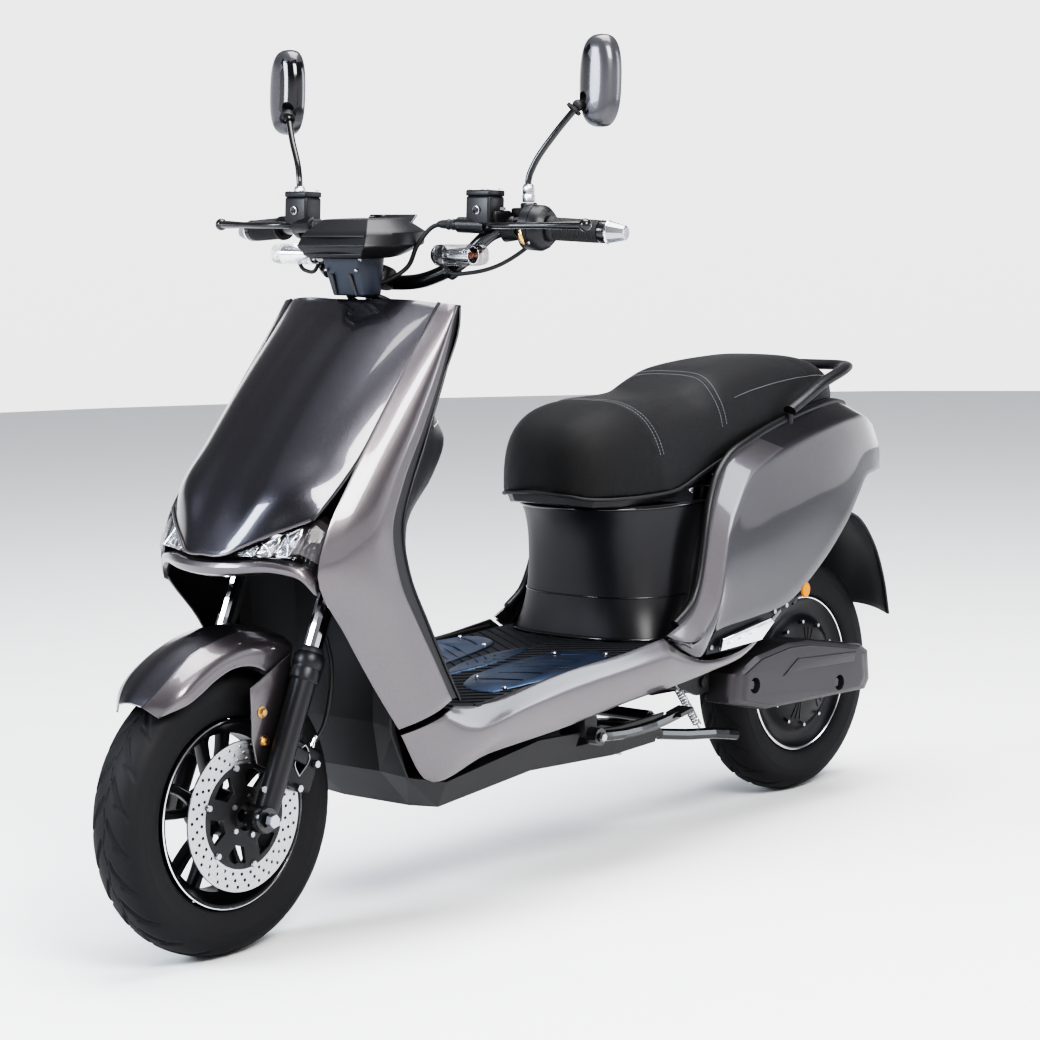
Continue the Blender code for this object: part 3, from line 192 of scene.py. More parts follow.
def closed_loft(name, rings, angle=40, bevel=0.0):
    """A closed body through rings of equal count, capped at both ends."""
    bm = bmesh.new()
    grid = [[bm.verts.new(Vector(p)) for p in ring] for ring in rings]
    count = len(grid[0])
    for a, b in zip(grid, grid[1:]):
        for j in range(count):
            k = (j + 1) % count
            bm.faces.new((a[j], a[k], b[k], b[j]))
    bm.faces.new(grid[0][::-1])
    bm.faces.new(grid[-1])
    bmesh.ops.remove_doubles(bm, verts=bm.verts, dist=1e-7)
    piece = from_bmesh(name, bm, angle)
    if bevel:
        soften(piece, bevel)
    return piece


def soften(piece, width, segments=3, angle=35):
    """Rounds a piece's edges."""
    soft = piece.modifiers.new("soft edges", "BEVEL")
    soft.width = width
    soft.segments = segments
    soft.limit_method = "ANGLE"
    soft.angle_limit = radians(angle)
    soft.harden_normals = False
    return settled(piece, 40)


def axis_turn(direction):
    return Vector(direction).to_track_quat("Z", "Y").to_matrix().to_4x4()


def lathe(name, profile, centre, direction=(1, 0, 0), steps=64, closed=False, angle=35):
    """A turned body: profile of (radius, position along the axis); closed profiles make a ring."""
    bm = bmesh.new()
    place = Matrix.Translation(Vector(centre)) @ axis_turn(direction)
    columns = []
    for radius, along in profile:
        if radius < 1e-6:
            columns.append([bm.verts.new(place @ Vector((0, 0, along)))])
        else:
            columns.append([bm.verts.new(place @ Vector((radius * cos(2 * pi * i / steps), radius *
                sin(2 * pi * i / steps), along))) for i in range(steps)])
    pairs = list(zip(columns, columns[1:]))
    if closed:
        pairs.append((columns[-1], columns[0]))
    for a, b in pairs:
        for i in range(steps):
            k = (i + 1) % steps
            if len(a) == 1 and len(b) == 1:
                continue
            if len(a) == 1:
                bm.faces.new((a[0], b[i], b[k]))
            elif len(b) == 1:
                bm.faces.new((a[i], a[k], b[0]))
            else:
                bm.faces.new((a[i], a[k], b[k], b[i]))
    if not closed:
        for ends in (columns[0], columns[-1]):
            if len(ends) > 1:
                bm.faces.new(ends)
    return from_bmesh(name, bm, angle)


def pipe(name, points, radius, sides=16, per_span=8, flat=1.0, ends=None):
    """A round or oval tube along a smooth path, its ends closed."""
    path = resampled(points, per_span)
    count = len(path)
    radii = np.full(count, radius) if ends is None else np.interp(np.linspace(0, 1, count), *zip(*ends))
    rings = []
    side = None
    for i in range(count):
        run = Vector(path[min(i + 1, count - 1)] - path[max(i - 1, 0)]).normalized()
        if side is None:
            side = run.cross(Vector((0, 0, 1)))
            if side.length < .05:
                side = run.cross(Vector((0, 1, 0)))
        side = (side - run * side.dot(run)).normalized()
        other = run.cross(side)
        centre = Vector(path[i])
        rings.append([centre + (side * cos(2 * pi * k / sides) + other * sin(2 * pi * k / sides) * flat)
            * float(radii[i]) for k in range(sides)])
    return closed_loft(name, rings)


def plate(name, outline, x_inner, x_outer, bevel=.0008):
    """A flat plate of (y, z) outline between two values of x."""
    rings = [[(x, y, z) for y, z in outline] for x in (x_inner, x_outer)]
    return closed_loft(name, rings, 30, bevel)


def rounded_block(name, size, centre, turn=(0, 0, 0), bevel=.002, taper=1.0):
    """A block with rounded edges, its top drawn in by a taper."""
    half = [s / 2 for s in size]
    rings = []
    for z, shrink in ((-half[2], 1.0), (half[2], taper)):
        rings.append([(x * half[0] * shrink, y * half[1] * shrink, z) for x, y in
            ((-1, -1), (1, -1), (1, 1), (-1, 1))])
    piece = closed_loft(name, rings)
    piece.matrix_world = Matrix.Translation(Vector(centre)) @ Euler(turn).to_matrix().to_4x4()
    return soften(piece, bevel)


def joined(name, pieces):
    """Several pieces made one, each keeping its own finish."""
    bm = bmesh.new()
    finishes = []
    for piece in pieces:
        first = len(finishes)
        finishes.extend(piece.data.materials)
        count = len(bm.faces)
        bm.from_mesh(piece.data)
        bm.faces.ensure_lookup_table()
        if first:
            for face in bm.faces[count:]:
                face.material_index += first
    mesh = bpy.data.meshes.new(name)
    bm.to_mesh(mesh)
    bm.free()
    used = []
    remap = []
    for finish in finishes:
        if finish not in used:
            used.append(finish)
        remap.append(used.index(finish))
    for finish in used:
        mesh.materials.append(finish)
    for face in mesh.polygons:
        face.material_index = remap[face.material_index] if remap else 0
    for piece in pieces:
        bpy.data.objects.remove(piece, do_unlink=True)
    return new_piece(name, mesh)


def painted(piece, finish):
    """Gives a piece one finish, by its name in the list or as a material."""
    piece.data.materials.clear()
    piece.data.materials.append(FINISHES.get(finish, finish))
    return piece


def place(piece, body, finish=None, stands_for=(), slot=None):
    """Gives a piece its finish and its body, and hides the CAD nodes that it stands for."""
    if finish is not None:
        painted(piece, finish)
    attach(piece, body)
    if stands_for:
        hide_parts(*stands_for)
    return piece


def cut_away(piece, cutter):
    """Subtracts a cutter and removes it."""
    tool = piece.modifiers.new("cut", "BOOLEAN")
    tool.operation = "DIFFERENCE"
    tool.solver = "EXACT"
    tool.object = cutter
    settled(piece)
    bpy.data.objects.remove(cutter, do_unlink=True)
    return piece


# ---------------------------------------------------------------- repeats in Geometry Nodes
def node(tree, kind, **settings):
    made = tree.nodes.new(kind)
    for key, value in settings.items():
        setattr(made, key, value)
    return made


def wire(tree, *runs):
    """Links sockets: each run is a node, its output, the next node and its input."""
    for source, out, target, into in runs:
        tree.links.new(source.outputs[out], target.inputs[into])


def repeat_tree():
    """Sets a turned, square or many-sided head on each point, aimed along its own direction."""
    found = bpy.data.node_groups.get("set heads")
    if found:
        return found
    tree = bpy.data.node_groups.new("set heads", "GeometryNodeTree")
    face = tree.interface
    face.new_socket("Geometry", in_out="INPUT", socket_type="NodeSocketGeometry")
    for name, kind, value in (("Radius", "NodeSocketFloat", .004), ("Height", "NodeSocketFloat", .003),
            ("Sides", "NodeSocketInt", 6), ("Top Share", "NodeSocketFloat", .85)):
        socket = face.new_socket(name, in_out="INPUT", socket_type=kind)
        socket.default_value = value
    face.new_socket("Finish", in_out="INPUT", socket_type="NodeSocketMaterial")
    face.new_socket("Geometry", in_out="OUTPUT", socket_type="NodeSocketGeometry")
    start, end = node(tree, "NodeGroupInput"), node(tree, "NodeGroupOutput")
    head = node(tree, "GeometryNodeMeshCone")
    aim = node(tree, "GeometryNodeInputNamedAttribute", data_type="FLOAT_VECTOR")
    aim.inputs["Name"].default_value = "aim"
    turn = node(tree, "FunctionNodeAlignRotationToVector", axis="Z")
    spin = node(tree, "FunctionNodeRandomValue", data_type="FLOAT")
    spin.inputs["Seed"].default_value = 7
    spin.inputs["Max"].default_value = 1.0
    euler = node(tree, "ShaderNodeCombineXYZ")
    rotate = node(tree, "FunctionNodeRotateRotation", rotation_space="LOCAL")
    put = node(tree, "GeometryNodeInstanceOnPoints")
    real = node(tree, "GeometryNodeRealizeInstances")
    paint = node(tree, "GeometryNodeSetMaterial")
    share = node(tree, "ShaderNodeMath", operation="MULTIPLY")
    wire(tree, (start, "Sides", head, "Vertices"), (start, "Radius", head, "Radius Bottom"),
        (start, "Radius", share, 0), (start, "Top Share", share, 1), (share, 0, head, "Radius Top"),
        (start, "Height", head, "Depth"), (aim, 0, turn, "Vector"), (spin, 1, euler, "Z"),
        (turn, 0, rotate, "Rotation"), (euler, 0, rotate, "Rotate By"),
        (start, "Geometry", put, "Points"), (head, "Mesh", put, "Instance"),
        (rotate, 0, put, "Rotation"), (put, 0, real, 0), (real, 0, paint, "Geometry"),
        (start, "Finish", paint, "Material"), (paint, 0, end, 0))
    return tree


def stitch_tree():
    """Lays short rounded bars end to end along an edge path, with a gap between them."""
    found = bpy.data.node_groups.get("lay stitches")
    if found:
        return found
    tree = bpy.data.node_groups.new("lay stitches", "GeometryNodeTree")
    face = tree.interface
    face.new_socket("Geometry", in_out="INPUT", socket_type="NodeSocketGeometry")
    for name, value in (("Pitch", .005), ("Length", .0035), ("Radius", .0006)):
        socket = face.new_socket(name, in_out="INPUT", socket_type="NodeSocketFloat")
        socket.default_value = value
    face.new_socket("Finish", in_out="INPUT", socket_type="NodeSocketMaterial")
    face.new_socket("Geometry", in_out="OUTPUT", socket_type="NodeSocketGeometry")
    start, end = node(tree, "NodeGroupInput"), node(tree, "NodeGroupOutput")
    curve = node(tree, "GeometryNodeMeshToCurve")
    even = node(tree, "GeometryNodeResampleCurve", mode="LENGTH")
    bar = node(tree, "GeometryNodeMeshCylinder")
    bar.inputs["Vertices"].default_value = 8
    tangent = node(tree, "GeometryNodeInputTangent")
    turn = node(tree, "FunctionNodeAlignRotationToVector", axis="Z")
    put = node(tree, "GeometryNodeInstanceOnPoints")
    real = node(tree, "GeometryNodeRealizeInstances")
    paint = node(tree, "GeometryNodeSetMaterial")
    wire(tree, (start, "Geometry", curve, "Mesh"), (curve, 0, even, "Curve"),
        (start, "Pitch", even, "Length"), (start, "Radius", bar, "Radius"),
        (start, "Length", bar, "Depth"), (tangent, 0, turn, "Vector"), (even, 0, put, "Points"),
        (bar, "Mesh", put, "Instance"), (turn, 0, put, "Rotation"), (put, 0, real, 0),
        (real, 0, paint, "Geometry"), (start, "Finish", paint, "Material"), (paint, 0, end, 0))
    return tree


def run_tree(piece, tree, values):
    """Runs a node tree on a piece with its named inputs and leaves a plain mesh."""
    tool = piece.modifiers.new("repeat", "NODES")
    tool.node_group = tree
    for item in tree.interface.items_tree:
        if item.item_type == "SOCKET" and item.in_out == "INPUT" and item.name in values:
            tool[item.identifier] = values[item.name]
    return settled(piece, 30)


def heads(name, spots, radius, height, finish, sides=6, top=.85):
    """Screw or bolt heads: spots are (place, direction) pairs."""
    mesh = bpy.data.meshes.new(name)
    mesh.from_pydata([tuple(Vector(p)) for p, _ in spots], [], [])
    aim = mesh.attributes.new("aim", "FLOAT_VECTOR", "POINT")
    for i, (_, direction) in enumerate(spots):
        aim.data[i].vector = Vector(direction).normalized()
    return run_tree(new_piece(name, mesh), repeat_tree(),
        {"Radius": radius, "Height": height, "Sides": sides, "Top Share": top, "Finish":
        FINISHES[finish]})


def stitches(name, paths, finish, pitch=.005, length=.0034, radius=.0006):
    """Stitches, slats or ribs along one or more paths."""
    vertices, edges = [], []
    for path in paths:
        first = len(vertices)
        vertices += [tuple(p) for p in path]
        edges += [(i, i + 1) for i in range(first, len(vertices) - 1)]
    mesh = bpy.data.meshes.new(name)
    mesh.from_pydata(vertices, edges, [])
    return run_tree(new_piece(name, mesh), stitch_tree(),
        {"Pitch": pitch, "Length": length, "Radius": radius, "Finish": FINISHES[finish]})


# ---------------------------------------------------------------- surface effects
def effect(name, inputs, outputs):
    """An empty shader node group with named sockets; returns it with its ends."""
    tree = bpy.data.node_groups.new(name, "ShaderNodeTree")
    for label, value in inputs:
        tree.interface.new_socket(label, in_out="INPUT",
            socket_type="NodeSocketFloat").default_value = value
    for label, kind in outputs:
        tree.interface.new_socket(label, in_out="OUTPUT", socket_type=kind)
    return tree, node(tree, "NodeGroupInput"), node(tree, "NodeGroupOutput")


def grain_effect():
    """Fine moulded or cast grain: a normal and a 0 to 1 mottle."""
    name = "moulded grain"
    if name in bpy.data.node_groups:
        return bpy.data.node_groups[name]
    tree, start, end = effect(name, (("Scale", 900.0), ("Depth", .3), ("Height", .0004)),
        (("Normal", "NodeSocketVector"), ("Mottle", "NodeSocketFloat")))
    where = node(tree, "ShaderNodeTexCoord")
    fine = node(tree, "ShaderNodeTexNoise")
    fine.inputs["Detail"].default_value = 3
    broad = node(tree, "ShaderNodeTexNoise")
    broad.inputs["Scale"].default_value = 9
    broad.inputs["Detail"].default_value = 5
    bump = node(tree, "ShaderNodeBump")
    wire(tree, (where, "Object", fine, "Vector"), (where, "Object", broad, "Vector"),
        (start, "Scale", fine, "Scale"), (fine, 0, bump, "Height"), (start, "Depth", bump, "Strength"),
        (start, "Height", bump, "Distance"), (bump, 0, end, "Normal"), (broad, 0, end, "Mottle"))
    return tree


def flake_effect():
    """Metal flake in paint: a normal broken into tiny facets and a sparkle value."""
    name = "metal flake"
    if name in bpy.data.node_groups:
        return bpy.data.node_groups[name]
    tree, start, end = effect(name, (("Scale", 2600.0), ("Tilt", .1)),
        (("Normal", "NodeSocketVector"), ("Sparkle", "NodeSocketFloat")))
    where = node(tree, "ShaderNodeTexCoord")
    cells = node(tree, "ShaderNodeTexVoronoi", feature="F1")
    shape = node(tree, "ShaderNodeNewGeometry")
    centre = node(tree, "ShaderNodeVectorMath", operation="SUBTRACT")
    centre.inputs[1].default_value = (.5, .5, .5)
    sized = node(tree, "ShaderNodeVectorMath", operation="SCALE")
    added = node(tree, "ShaderNodeVectorMath", operation="ADD")
    unit = node(tree, "ShaderNodeVectorMath", operation="NORMALIZE")
    split = node(tree, "ShaderNodeSeparateXYZ")
    wire(tree, (where, "Object", cells, "Vector"), (start, "Scale", cells, "Scale"),
        (cells, "Color", centre, 0), (centre, 0, sized, 0), (start, "Tilt", sized, "Scale"),
        (sized, 0, added, 0), (shape, "Normal", added, 1), (added, 0, unit, 0),
        (unit, 0, end, "Normal"), (cells, "Color", split, 0), (split, "X", end, "Sparkle"))
    return tree


def wear_effect():
    """A mask of exposed edges broken up by noise."""
    name = "rubbed edges"
    if name in bpy.data.node_groups:
        return bpy.data.node_groups[name]
    tree, start, end = effect(name, (("Reach", .1), ("Breakup", 60.0)), (("Mask", "NodeSocketFloat"),))
    shape = node(tree, "ShaderNodeNewGeometry")
    level = node(tree, "ShaderNodeMath", operation="SUBTRACT")
    level.inputs[1].default_value = .56
    noise = node(tree, "ShaderNodeTexNoise")
    where = node(tree, "ShaderNodeTexCoord")
    sized = node(tree, "ShaderNodeMath", operation="MULTIPLY")
    ratio = node(tree, "ShaderNodeMath", operation="DIVIDE", use_clamp=True)
    wire(tree, (shape, "Pointiness", level, 0), (level, 0, ratio, 0), (start, "Reach", ratio, 1),
        (where, "Object", noise, "Vector"), (start, "Breakup", noise, "Scale"), (ratio, 0, sized, 0),
        (noise, 0, sized, 1), (sized, 0, end, "Mask"))
    return tree


def dust_effect():
    """A thin film of dust on faces that look up, broken up by noise."""
    name = "settled dust"
    if name in bpy.data.node_groups:
        return bpy.data.node_groups[name]
    tree, start, end = effect(name, (("Amount", .12), ("Scale", 14.0)), (("Mask", "NodeSocketFloat"),))
    shape = node(tree, "ShaderNodeNewGeometry")
    split = node(tree, "ShaderNodeSeparateXYZ")
    upward = node(tree, "ShaderNodeMapRange")
    upward.inputs["From Min"].default_value = -.2
    upward.inputs["From Max"].default_value = 1.0
    noise = node(tree, "ShaderNodeTexNoise")
    noise.inputs["Detail"].default_value = 6
    where = node(tree, "ShaderNodeTexCoord")
    a, b = node(tree, "ShaderNodeMath", operation="MULTIPLY"), node(tree, "ShaderNodeMath",
        operation="MULTIPLY")
    wire(tree, (shape, "Normal", split, 0), (split, "Z", upward, "Value"),
        (where, "Object", noise, "Vector"), (start, "Scale", noise, "Scale"), (upward, 0, a, 0),
        (noise, 0, a, 1), (a, 0, b, 0), (start, "Amount", b, 1), (b, 0, end, "Mask"))
    return tree


def brushed_effect():
    """Fine scratches round the X axis of a wheel: a normal and a streak value."""
    name = "turned scratches"
    if name in bpy.data.node_groups:
        return bpy.data.node_groups[name]
    tree, start, end = effect(name, (("Rings", 700.0), ("Centre Y", -.6835), ("Centre Z", .205),
        ("Depth", .25)), (("Normal", "NodeSocketVector"), ("Streak", "NodeSocketFloat")))
    where = node(tree, "ShaderNodeTexCoord")
    centre = node(tree, "ShaderNodeCombineXYZ")
    offset = node(tree, "ShaderNodeVectorMath", operation="SUBTRACT")
    flat = node(tree, "ShaderNodeVectorMath", operation="MULTIPLY")
    flat.inputs[1].default_value = (0, 1, 1)
    reach = node(tree, "ShaderNodeVectorMath", operation="LENGTH")
    sized = node(tree, "ShaderNodeMath", operation="MULTIPLY")
    noise = node(tree, "ShaderNodeTexNoise", noise_dimensions="1D")
    noise.inputs["Detail"].default_value = 2
    noise.inputs["Scale"].default_value = 1
    bump = node(tree, "ShaderNodeBump")
    bump.inputs["Distance"].default_value = .0002
    wire(tree, (start, "Centre Y", centre, "Y"), (start, "Centre Z", centre, "Z"),
        (where, "Object", offset, 0), (centre, 0, offset, 1), (offset, 0, flat, 0), (flat, 0, reach, 0),
        (reach, "Value", sized, 0), (start, "Rings", sized, 1), (sized, 0, noise, "W"),
        (noise, 0, bump, "Height"), (start, "Depth", bump, "Strength"), (bump, 0, end, "Normal"),
        (noise, 0, end, "Streak"))
    return tree


def hide_effect():
    """Pebbled grain of a coated seat cover; its crease value also sets the painted shade in the valleys.
    """
    name = "pebbled cover"
    if name in bpy.data.node_groups:
        return bpy.data.node_groups[name]
    tree, start, end = effect(name, (("Scale", 520.0), ("Depth", .5)),
        (("Normal", "NodeSocketVector"), ("Crease", "NodeSocketFloat")))
    where = node(tree, "ShaderNodeTexCoord")
    warp = node(tree, "ShaderNodeTexNoise")
    warp.inputs["Scale"].default_value = 160
    blend = node(tree, "ShaderNodeVectorMath", operation="MULTIPLY_ADD")
    blend.inputs[1].default_value = (.0012, .0012, .0012)
    cells = node(tree, "ShaderNodeTexVoronoi", feature="DISTANCE_TO_EDGE")
    ramp = node(tree, "ShaderNodeMapRange")
    ramp.inputs["From Max"].default_value = .22
    bump = node(tree, "ShaderNodeBump")
    bump.inputs["Distance"].default_value = .0006
    wire(tree, (where, "Object", warp, "Vector"), (warp, "Color", blend, 0),
        (where, "Object", blend, 2), (blend, 0, cells, "Vector"), (start, "Scale", cells, "Scale"),
        (cells, "Distance", ramp, "Value"), (ramp, 0, bump, "Height"),
        (start, "Depth", bump, "Strength"), (bump, 0, end, "Normal"), (ramp, 0, end, "Crease"))
    return tree


# ---------------------------------------------------------------- finishes
def blank(name):
    finish = bpy.data.materials.new(name)
    finish.use_nodes = True
    tree = finish.node_tree
    return finish, tree, tree.nodes["Principled BSDF"]


def group(tree, maker, **values):
    made = node(tree, "ShaderNodeGroup")
    made.node_tree = maker()
    for label, value in values.items():
        made.inputs[label.replace("_", " ")].default_value = value
    return made


def two_tone(tree, factor, dark, light):
    """Mixes two colours by a factor socket."""
    mix = node(tree, "ShaderNodeMix", data_type="RGBA")
    mix.inputs[6].default_value = (*dark, 1)
    mix.inputs[7].default_value = (*light, 1)
    tree.links.new(factor, mix.inputs[0])
    return mix.outputs[2]


def ranged(tree, value, low, high):
    """Spreads a 0 to 1 value between two limits."""
    spread = node(tree, "ShaderNodeMapRange")
    spread.inputs["To Min"].default_value = low
    spread.inputs["To Max"].default_value = high
    tree.links.new(value, spread.inputs["Value"])
    return spread.outputs[0]


def car_paint(name, colour, dark_share=.86, roughness=.3, metallic=.85):
    """Metallic paint under clear lacquer, with flake and a thin dust film."""
    finish, tree, surface = blank(name)
    flake = group(tree, flake_effect)
    dust = group(tree, dust_effect, Amount=.05)
    colour = tuple(colour)
    base = two_tone(tree, flake.outputs["Sparkle"], [c * dark_share for c in colour],
        [min(1, c * 1.16) for c in colour])
    film = node(tree, "ShaderNodeMix", data_type="RGBA")
    film.inputs[7].default_value = (.2, .19, .18, 1)
    tree.links.new(base, film.inputs[6])
    wire(tree, (dust, "Mask", film, 0), (film, 2, surface, "Base Color"),
        (flake, "Normal", surface, "Normal"))
    tree.links.new(ranged(tree, flake.outputs["Sparkle"], roughness - .03, roughness + .06),
        surface.inputs["Roughness"])
    surface.inputs["Metallic"].default_value = metallic
    surface.inputs["Coat Weight"].default_value = .9
    surface.inputs["Coat Roughness"].default_value = .06
    return finish


def moulded(name, colour, roughness=.42, scale=900.0, depth=.25, dust=.1, wear=0.0, coat=0.0,
        metallic=0.0, shine=.4):
    """Moulded plastic or cast, coated metal with grain, mottle, dust and rubbed edges."""
    finish, tree, surface = blank(name)
    grain = group(tree, grain_effect, Scale=scale, Depth=depth)
    film = group(tree, dust_effect, Amount=dust)
    colour = tuple(colour)
    base = two_tone(tree, grain.outputs["Mottle"], [c * .82 for c in colour],
        [min(1, c * 1.22) for c in colour])
    dusty = node(tree, "ShaderNodeMix", data_type="RGBA")
    dusty.inputs[7].default_value = (.075, .072, .07, 1)
    wire(tree, (film, "Mask", dusty, 0))
    tree.links.new(base, dusty.inputs[6])
    last = dusty.outputs[2]
    if wear:
        rubbed = group(tree, wear_effect)
        worn = node(tree, "ShaderNodeMix", data_type="RGBA")
        worn.inputs[7].default_value = (*[min(1, c * 2 + wear * .05) for c in colour], 1)
        wire(tree, (rubbed, "Mask", worn, 0))
        tree.links.new(last, worn.inputs[6])
        last = worn.outputs[2]
    tree.links.new(last, surface.inputs["Base Color"])
    wire(tree, (grain, "Normal", surface, "Normal"))
    tree.links.new(ranged(tree, grain.outputs["Mottle"], roughness - .07, roughness + .08),
        surface.inputs["Roughness"])
    surface.inputs["Metallic"].default_value = metallic
    surface.inputs["Specular IOR Level"].default_value = shine
    surface.inputs["Coat Weight"].default_value = coat
    surface.inputs["Coat Roughness"].default_value = .05
    return finish


def bare_metal(name, colour, roughness=.12, depth=.05, scale=240.0):
    """Plated or machined metal with faint smears and fine marks."""
    finish, tree, surface = blank(name)
    grain = group(tree, grain_effect, Scale=scale, Depth=depth, Height=.0002)
    colour = tuple(colour)
    tree.links.new(two_tone(tree, grain.outputs["Mottle"], [c * .86 for c in colour],
        [min(1, c * 1.08) for c in colour]), surface.inputs["Base Color"])
    tree.links.new(ranged(tree, grain.outputs["Mottle"], roughness * .6, roughness * 1.6),
        surface.inputs["Roughness"])
    wire(tree, (grain, "Normal", surface, "Normal"))
    surface.inputs["Metallic"].default_value = 1.0
    return finish


def disc_metal(name, centre_y):
    finish, tree, surface = blank(name)
    marks = group(tree, brushed_effect, Centre_Y=centre_y)
    tree.links.new(two_tone(tree, marks.outputs["Streak"], (.26, .26, .27), (.52, .52, .53)),
        surface.inputs["Base Color"])
    wire(tree, (marks, "Normal", surface, "Normal"))
    tree.links.new(ranged(tree, marks.outputs["Streak"], .2, .42), surface.inputs["Roughness"])
    surface.inputs["Metallic"].default_value = 1.0
    return finish


def seat_hide(name, colour, scale, roughness):
    finish, tree, surface = blank(name)
    pebbles = group(tree, hide_effect, Scale=scale, Depth=.42)
    film = group(tree, dust_effect, Amount=.06, Scale=9.0)
    colour = tuple(colour)
    # the valleys between the pebbles are painted darker: painted shade in the creases of the grain
    base = two_tone(tree, pebbles.outputs["Crease"], [c * .55 for c in colour], colour)
    dusty = node(tree, "ShaderNodeMix", data_type="RGBA")
    dusty.inputs[7].default_value = (.04, .04, .043, 1)
    wire(tree, (film, "Mask", dusty, 0))
    tree.links.new(base, dusty.inputs[6])
    wire(tree, (dusty, 2, surface, "Base Color"), (pebbles, "Normal", surface, "Normal"))
    tree.links.new(ranged(tree, pebbles.outputs["Crease"], roughness + .1, roughness - .04),
        surface.inputs["Roughness"])
    surface.inputs["Sheen Weight"].default_value = .02
    surface.inputs["Specular IOR Level"].default_value = .28
    return finish


def lens(name, colour, roughness=.03, alpha=None, transmission=1.0):
    """Clear or tinted lamp cover with fine moulding lines."""
    finish, tree, surface = blank(name)
    grain = group(tree, grain_effect, Scale=120.0, Depth=.06, Height=.0003)
    tree.links.new(two_tone(tree, grain.outputs["Mottle"], [c * .92 for c in colour], colour),
        surface.inputs["Base Color"])
    wire(tree, (grain, "Normal", surface, "Normal"))
    tree.links.new(ranged(tree, grain.outputs["Mottle"], roughness, roughness * 2.5),
        surface.inputs["Roughness"])
    surface.inputs["Transmission Weight"].default_value = transmission
    surface.inputs["IOR"].default_value = 1.42
    if alpha is not None:
        surface.inputs["Alpha"].default_value = alpha
    return finish


FINISHES = {}


def make_finishes(looks):
    made = FINISHES
    made["gunmetal"] = car_paint("gunmetal paint", looks.gunmetal, .86, .3)
    made["silver"] = car_paint("titanium paint", looks.titanium, .88, .33)
    made["satin black"] = moulded("satin black moulding", looks.black, .4, 700, .18, .05)
    made["gloss black"] = moulded("gloss black moulding", (.006, .006, .008), .16, 300, .05, .03,
        coat=.6)
    made["black enamel"] = moulded("black enamel", (.008, .008, .009), .22, 260, .1, .04, wear=.3,
        coat=.4)
    made["wheel black"] = moulded("wheel black", (.005, .005, .006), .36, 300, .1, .03, shine=.3)
    made["cast black"] = moulded("cast black alloy", (.01, .01, .011), .36, 520, .45, .06, wear=.4,
        metallic=.3)
    made["frame black"] = moulded("frame black", (.018, .018, .019), .42, 420, .3, .16, wear=.5,
        metallic=.2)
    made["deck rubber"] = moulded("deck rubber", (.009, .01, .013), .6, 1200, .5, .1, shine=.28)
    made["grip rubber"] = moulded("grip rubber", (.013, .013, .014), .62, 1500, .5, .06)
    made["tyre rubber"] = moulded("tyre rubber", (.009, .009, .01), .62, 650, .5, .12, wear=.1,
        shine=.25)
    made["boot rubber"] = moulded("boot rubber", (.012, .012, .013), .55, 800, .3, .05)
    made["seat cover"] = seat_hide("seat cover", looks.seat, 520.0, .52)
    made["seat nose"] = seat_hide("seat nose cover", tuple(c * .62 for c in looks.seat), 640.0, .55)
    made["thread"] = moulded("stitch thread", (.16, .16, .17), .75, 2200, .6, .02)
    made["chrome"] = bare_metal("chrome plate", (.86, .87, .9), .07)
    made["polished lip"] = bare_metal("polished lip", (.78, .78, .8), .16)
    made["steel"] = bare_metal("bright steel", (.4, .4, .42), .3, .2, 480)
    made["gold bolt"] = bare_metal("gold passivated bolt", (.72, .47, .26), .26, .2, 480)
    made["brass"] = bare_metal("brass trim", (.66, .42, .2), .22, .1, 400)
    made["disc"] = disc_metal("brake disc steel", FRONT_AXLE.y)
    made["tread plate"] = bare_metal("blued foot plate", (.085, .125, .19), .34, .5, 900)
    made["grey satin"] = moulded("grey satin moulding", (.036, .034, .037), .4, 900, .25, .03, coat=.15,
        metallic=.35)
    made["mirror grey"] = moulded("mirror shell grey", (.06, .06, .066), .28, 600, .1, .03, coat=.4,
        metallic=.4)
    made["neck blue grey"] = moulded("neck blue grey", (.018, .023, .032), .42, 700, .2, .03)
    made["lamp cover"] = lens("clear lamp cover", (.96, .98, 1.0), .02, .32)
    made["signal cover"] = lens("clear signal cover", (.93, .94, .96), .04, .45)
    made["tail cover"] = lens("smoked tail cover", (.16, .03, .035), .05, None, .15)
    made["orange reflector"] = lens("orange reflector", (.8, .2, .03), .12, None, .2)
    made["mirror glass"] = bare_metal("mirror glass", (.9, .92, .94), .012, 0.0)
    made["screen"] = moulded("display screen", (.004, .005, .007), .06, 200, 0.0, .02, coat=1.0)
    made["battery case"] = moulded("battery case", (.02, .02, .022), .5, 500, .4, .08)
    lamp, tree, surface = blank("lamp diode")
    glow = group(tree, grain_effect, Scale=300.0, Depth=.05)
    tree.links.new(two_tone(tree, glow.outputs["Mottle"], (.8, .82, .86), (.95, .97, 1.0)),
        surface.inputs["Base Color"])
    surface.inputs["Roughness"].default_value = .2
    made["diode"] = lamp


# ---------------------------------------------------------------- settings
class ScooterLooks(PropertyGroup):
    gunmetal: FloatVectorProperty(name="Gunmetal",
        description="Paint of the shield, rear panels and fender", subtype="COLOR", size=3, min=0,
        max=1, default=(.044, .043, .05))
    titanium: FloatVectorProperty(name="Titanium",
        description="Paint of the side bands, skirts and lip", subtype="COLOR", size=3, min=0, max=1,
        default=(.102, .094, .1))
    black: FloatVectorProperty(name="Satin black", description="Colour of the black mouldings",
        subtype="COLOR", size=3, min=0, max=1, default=(.008, .008, .0095))
    seat: FloatVectorProperty(name="Seat", description="Colour of the seat cover", subtype="COLOR",
        size=3, min=0, max=1, default=(.0095, .0095, .0105))


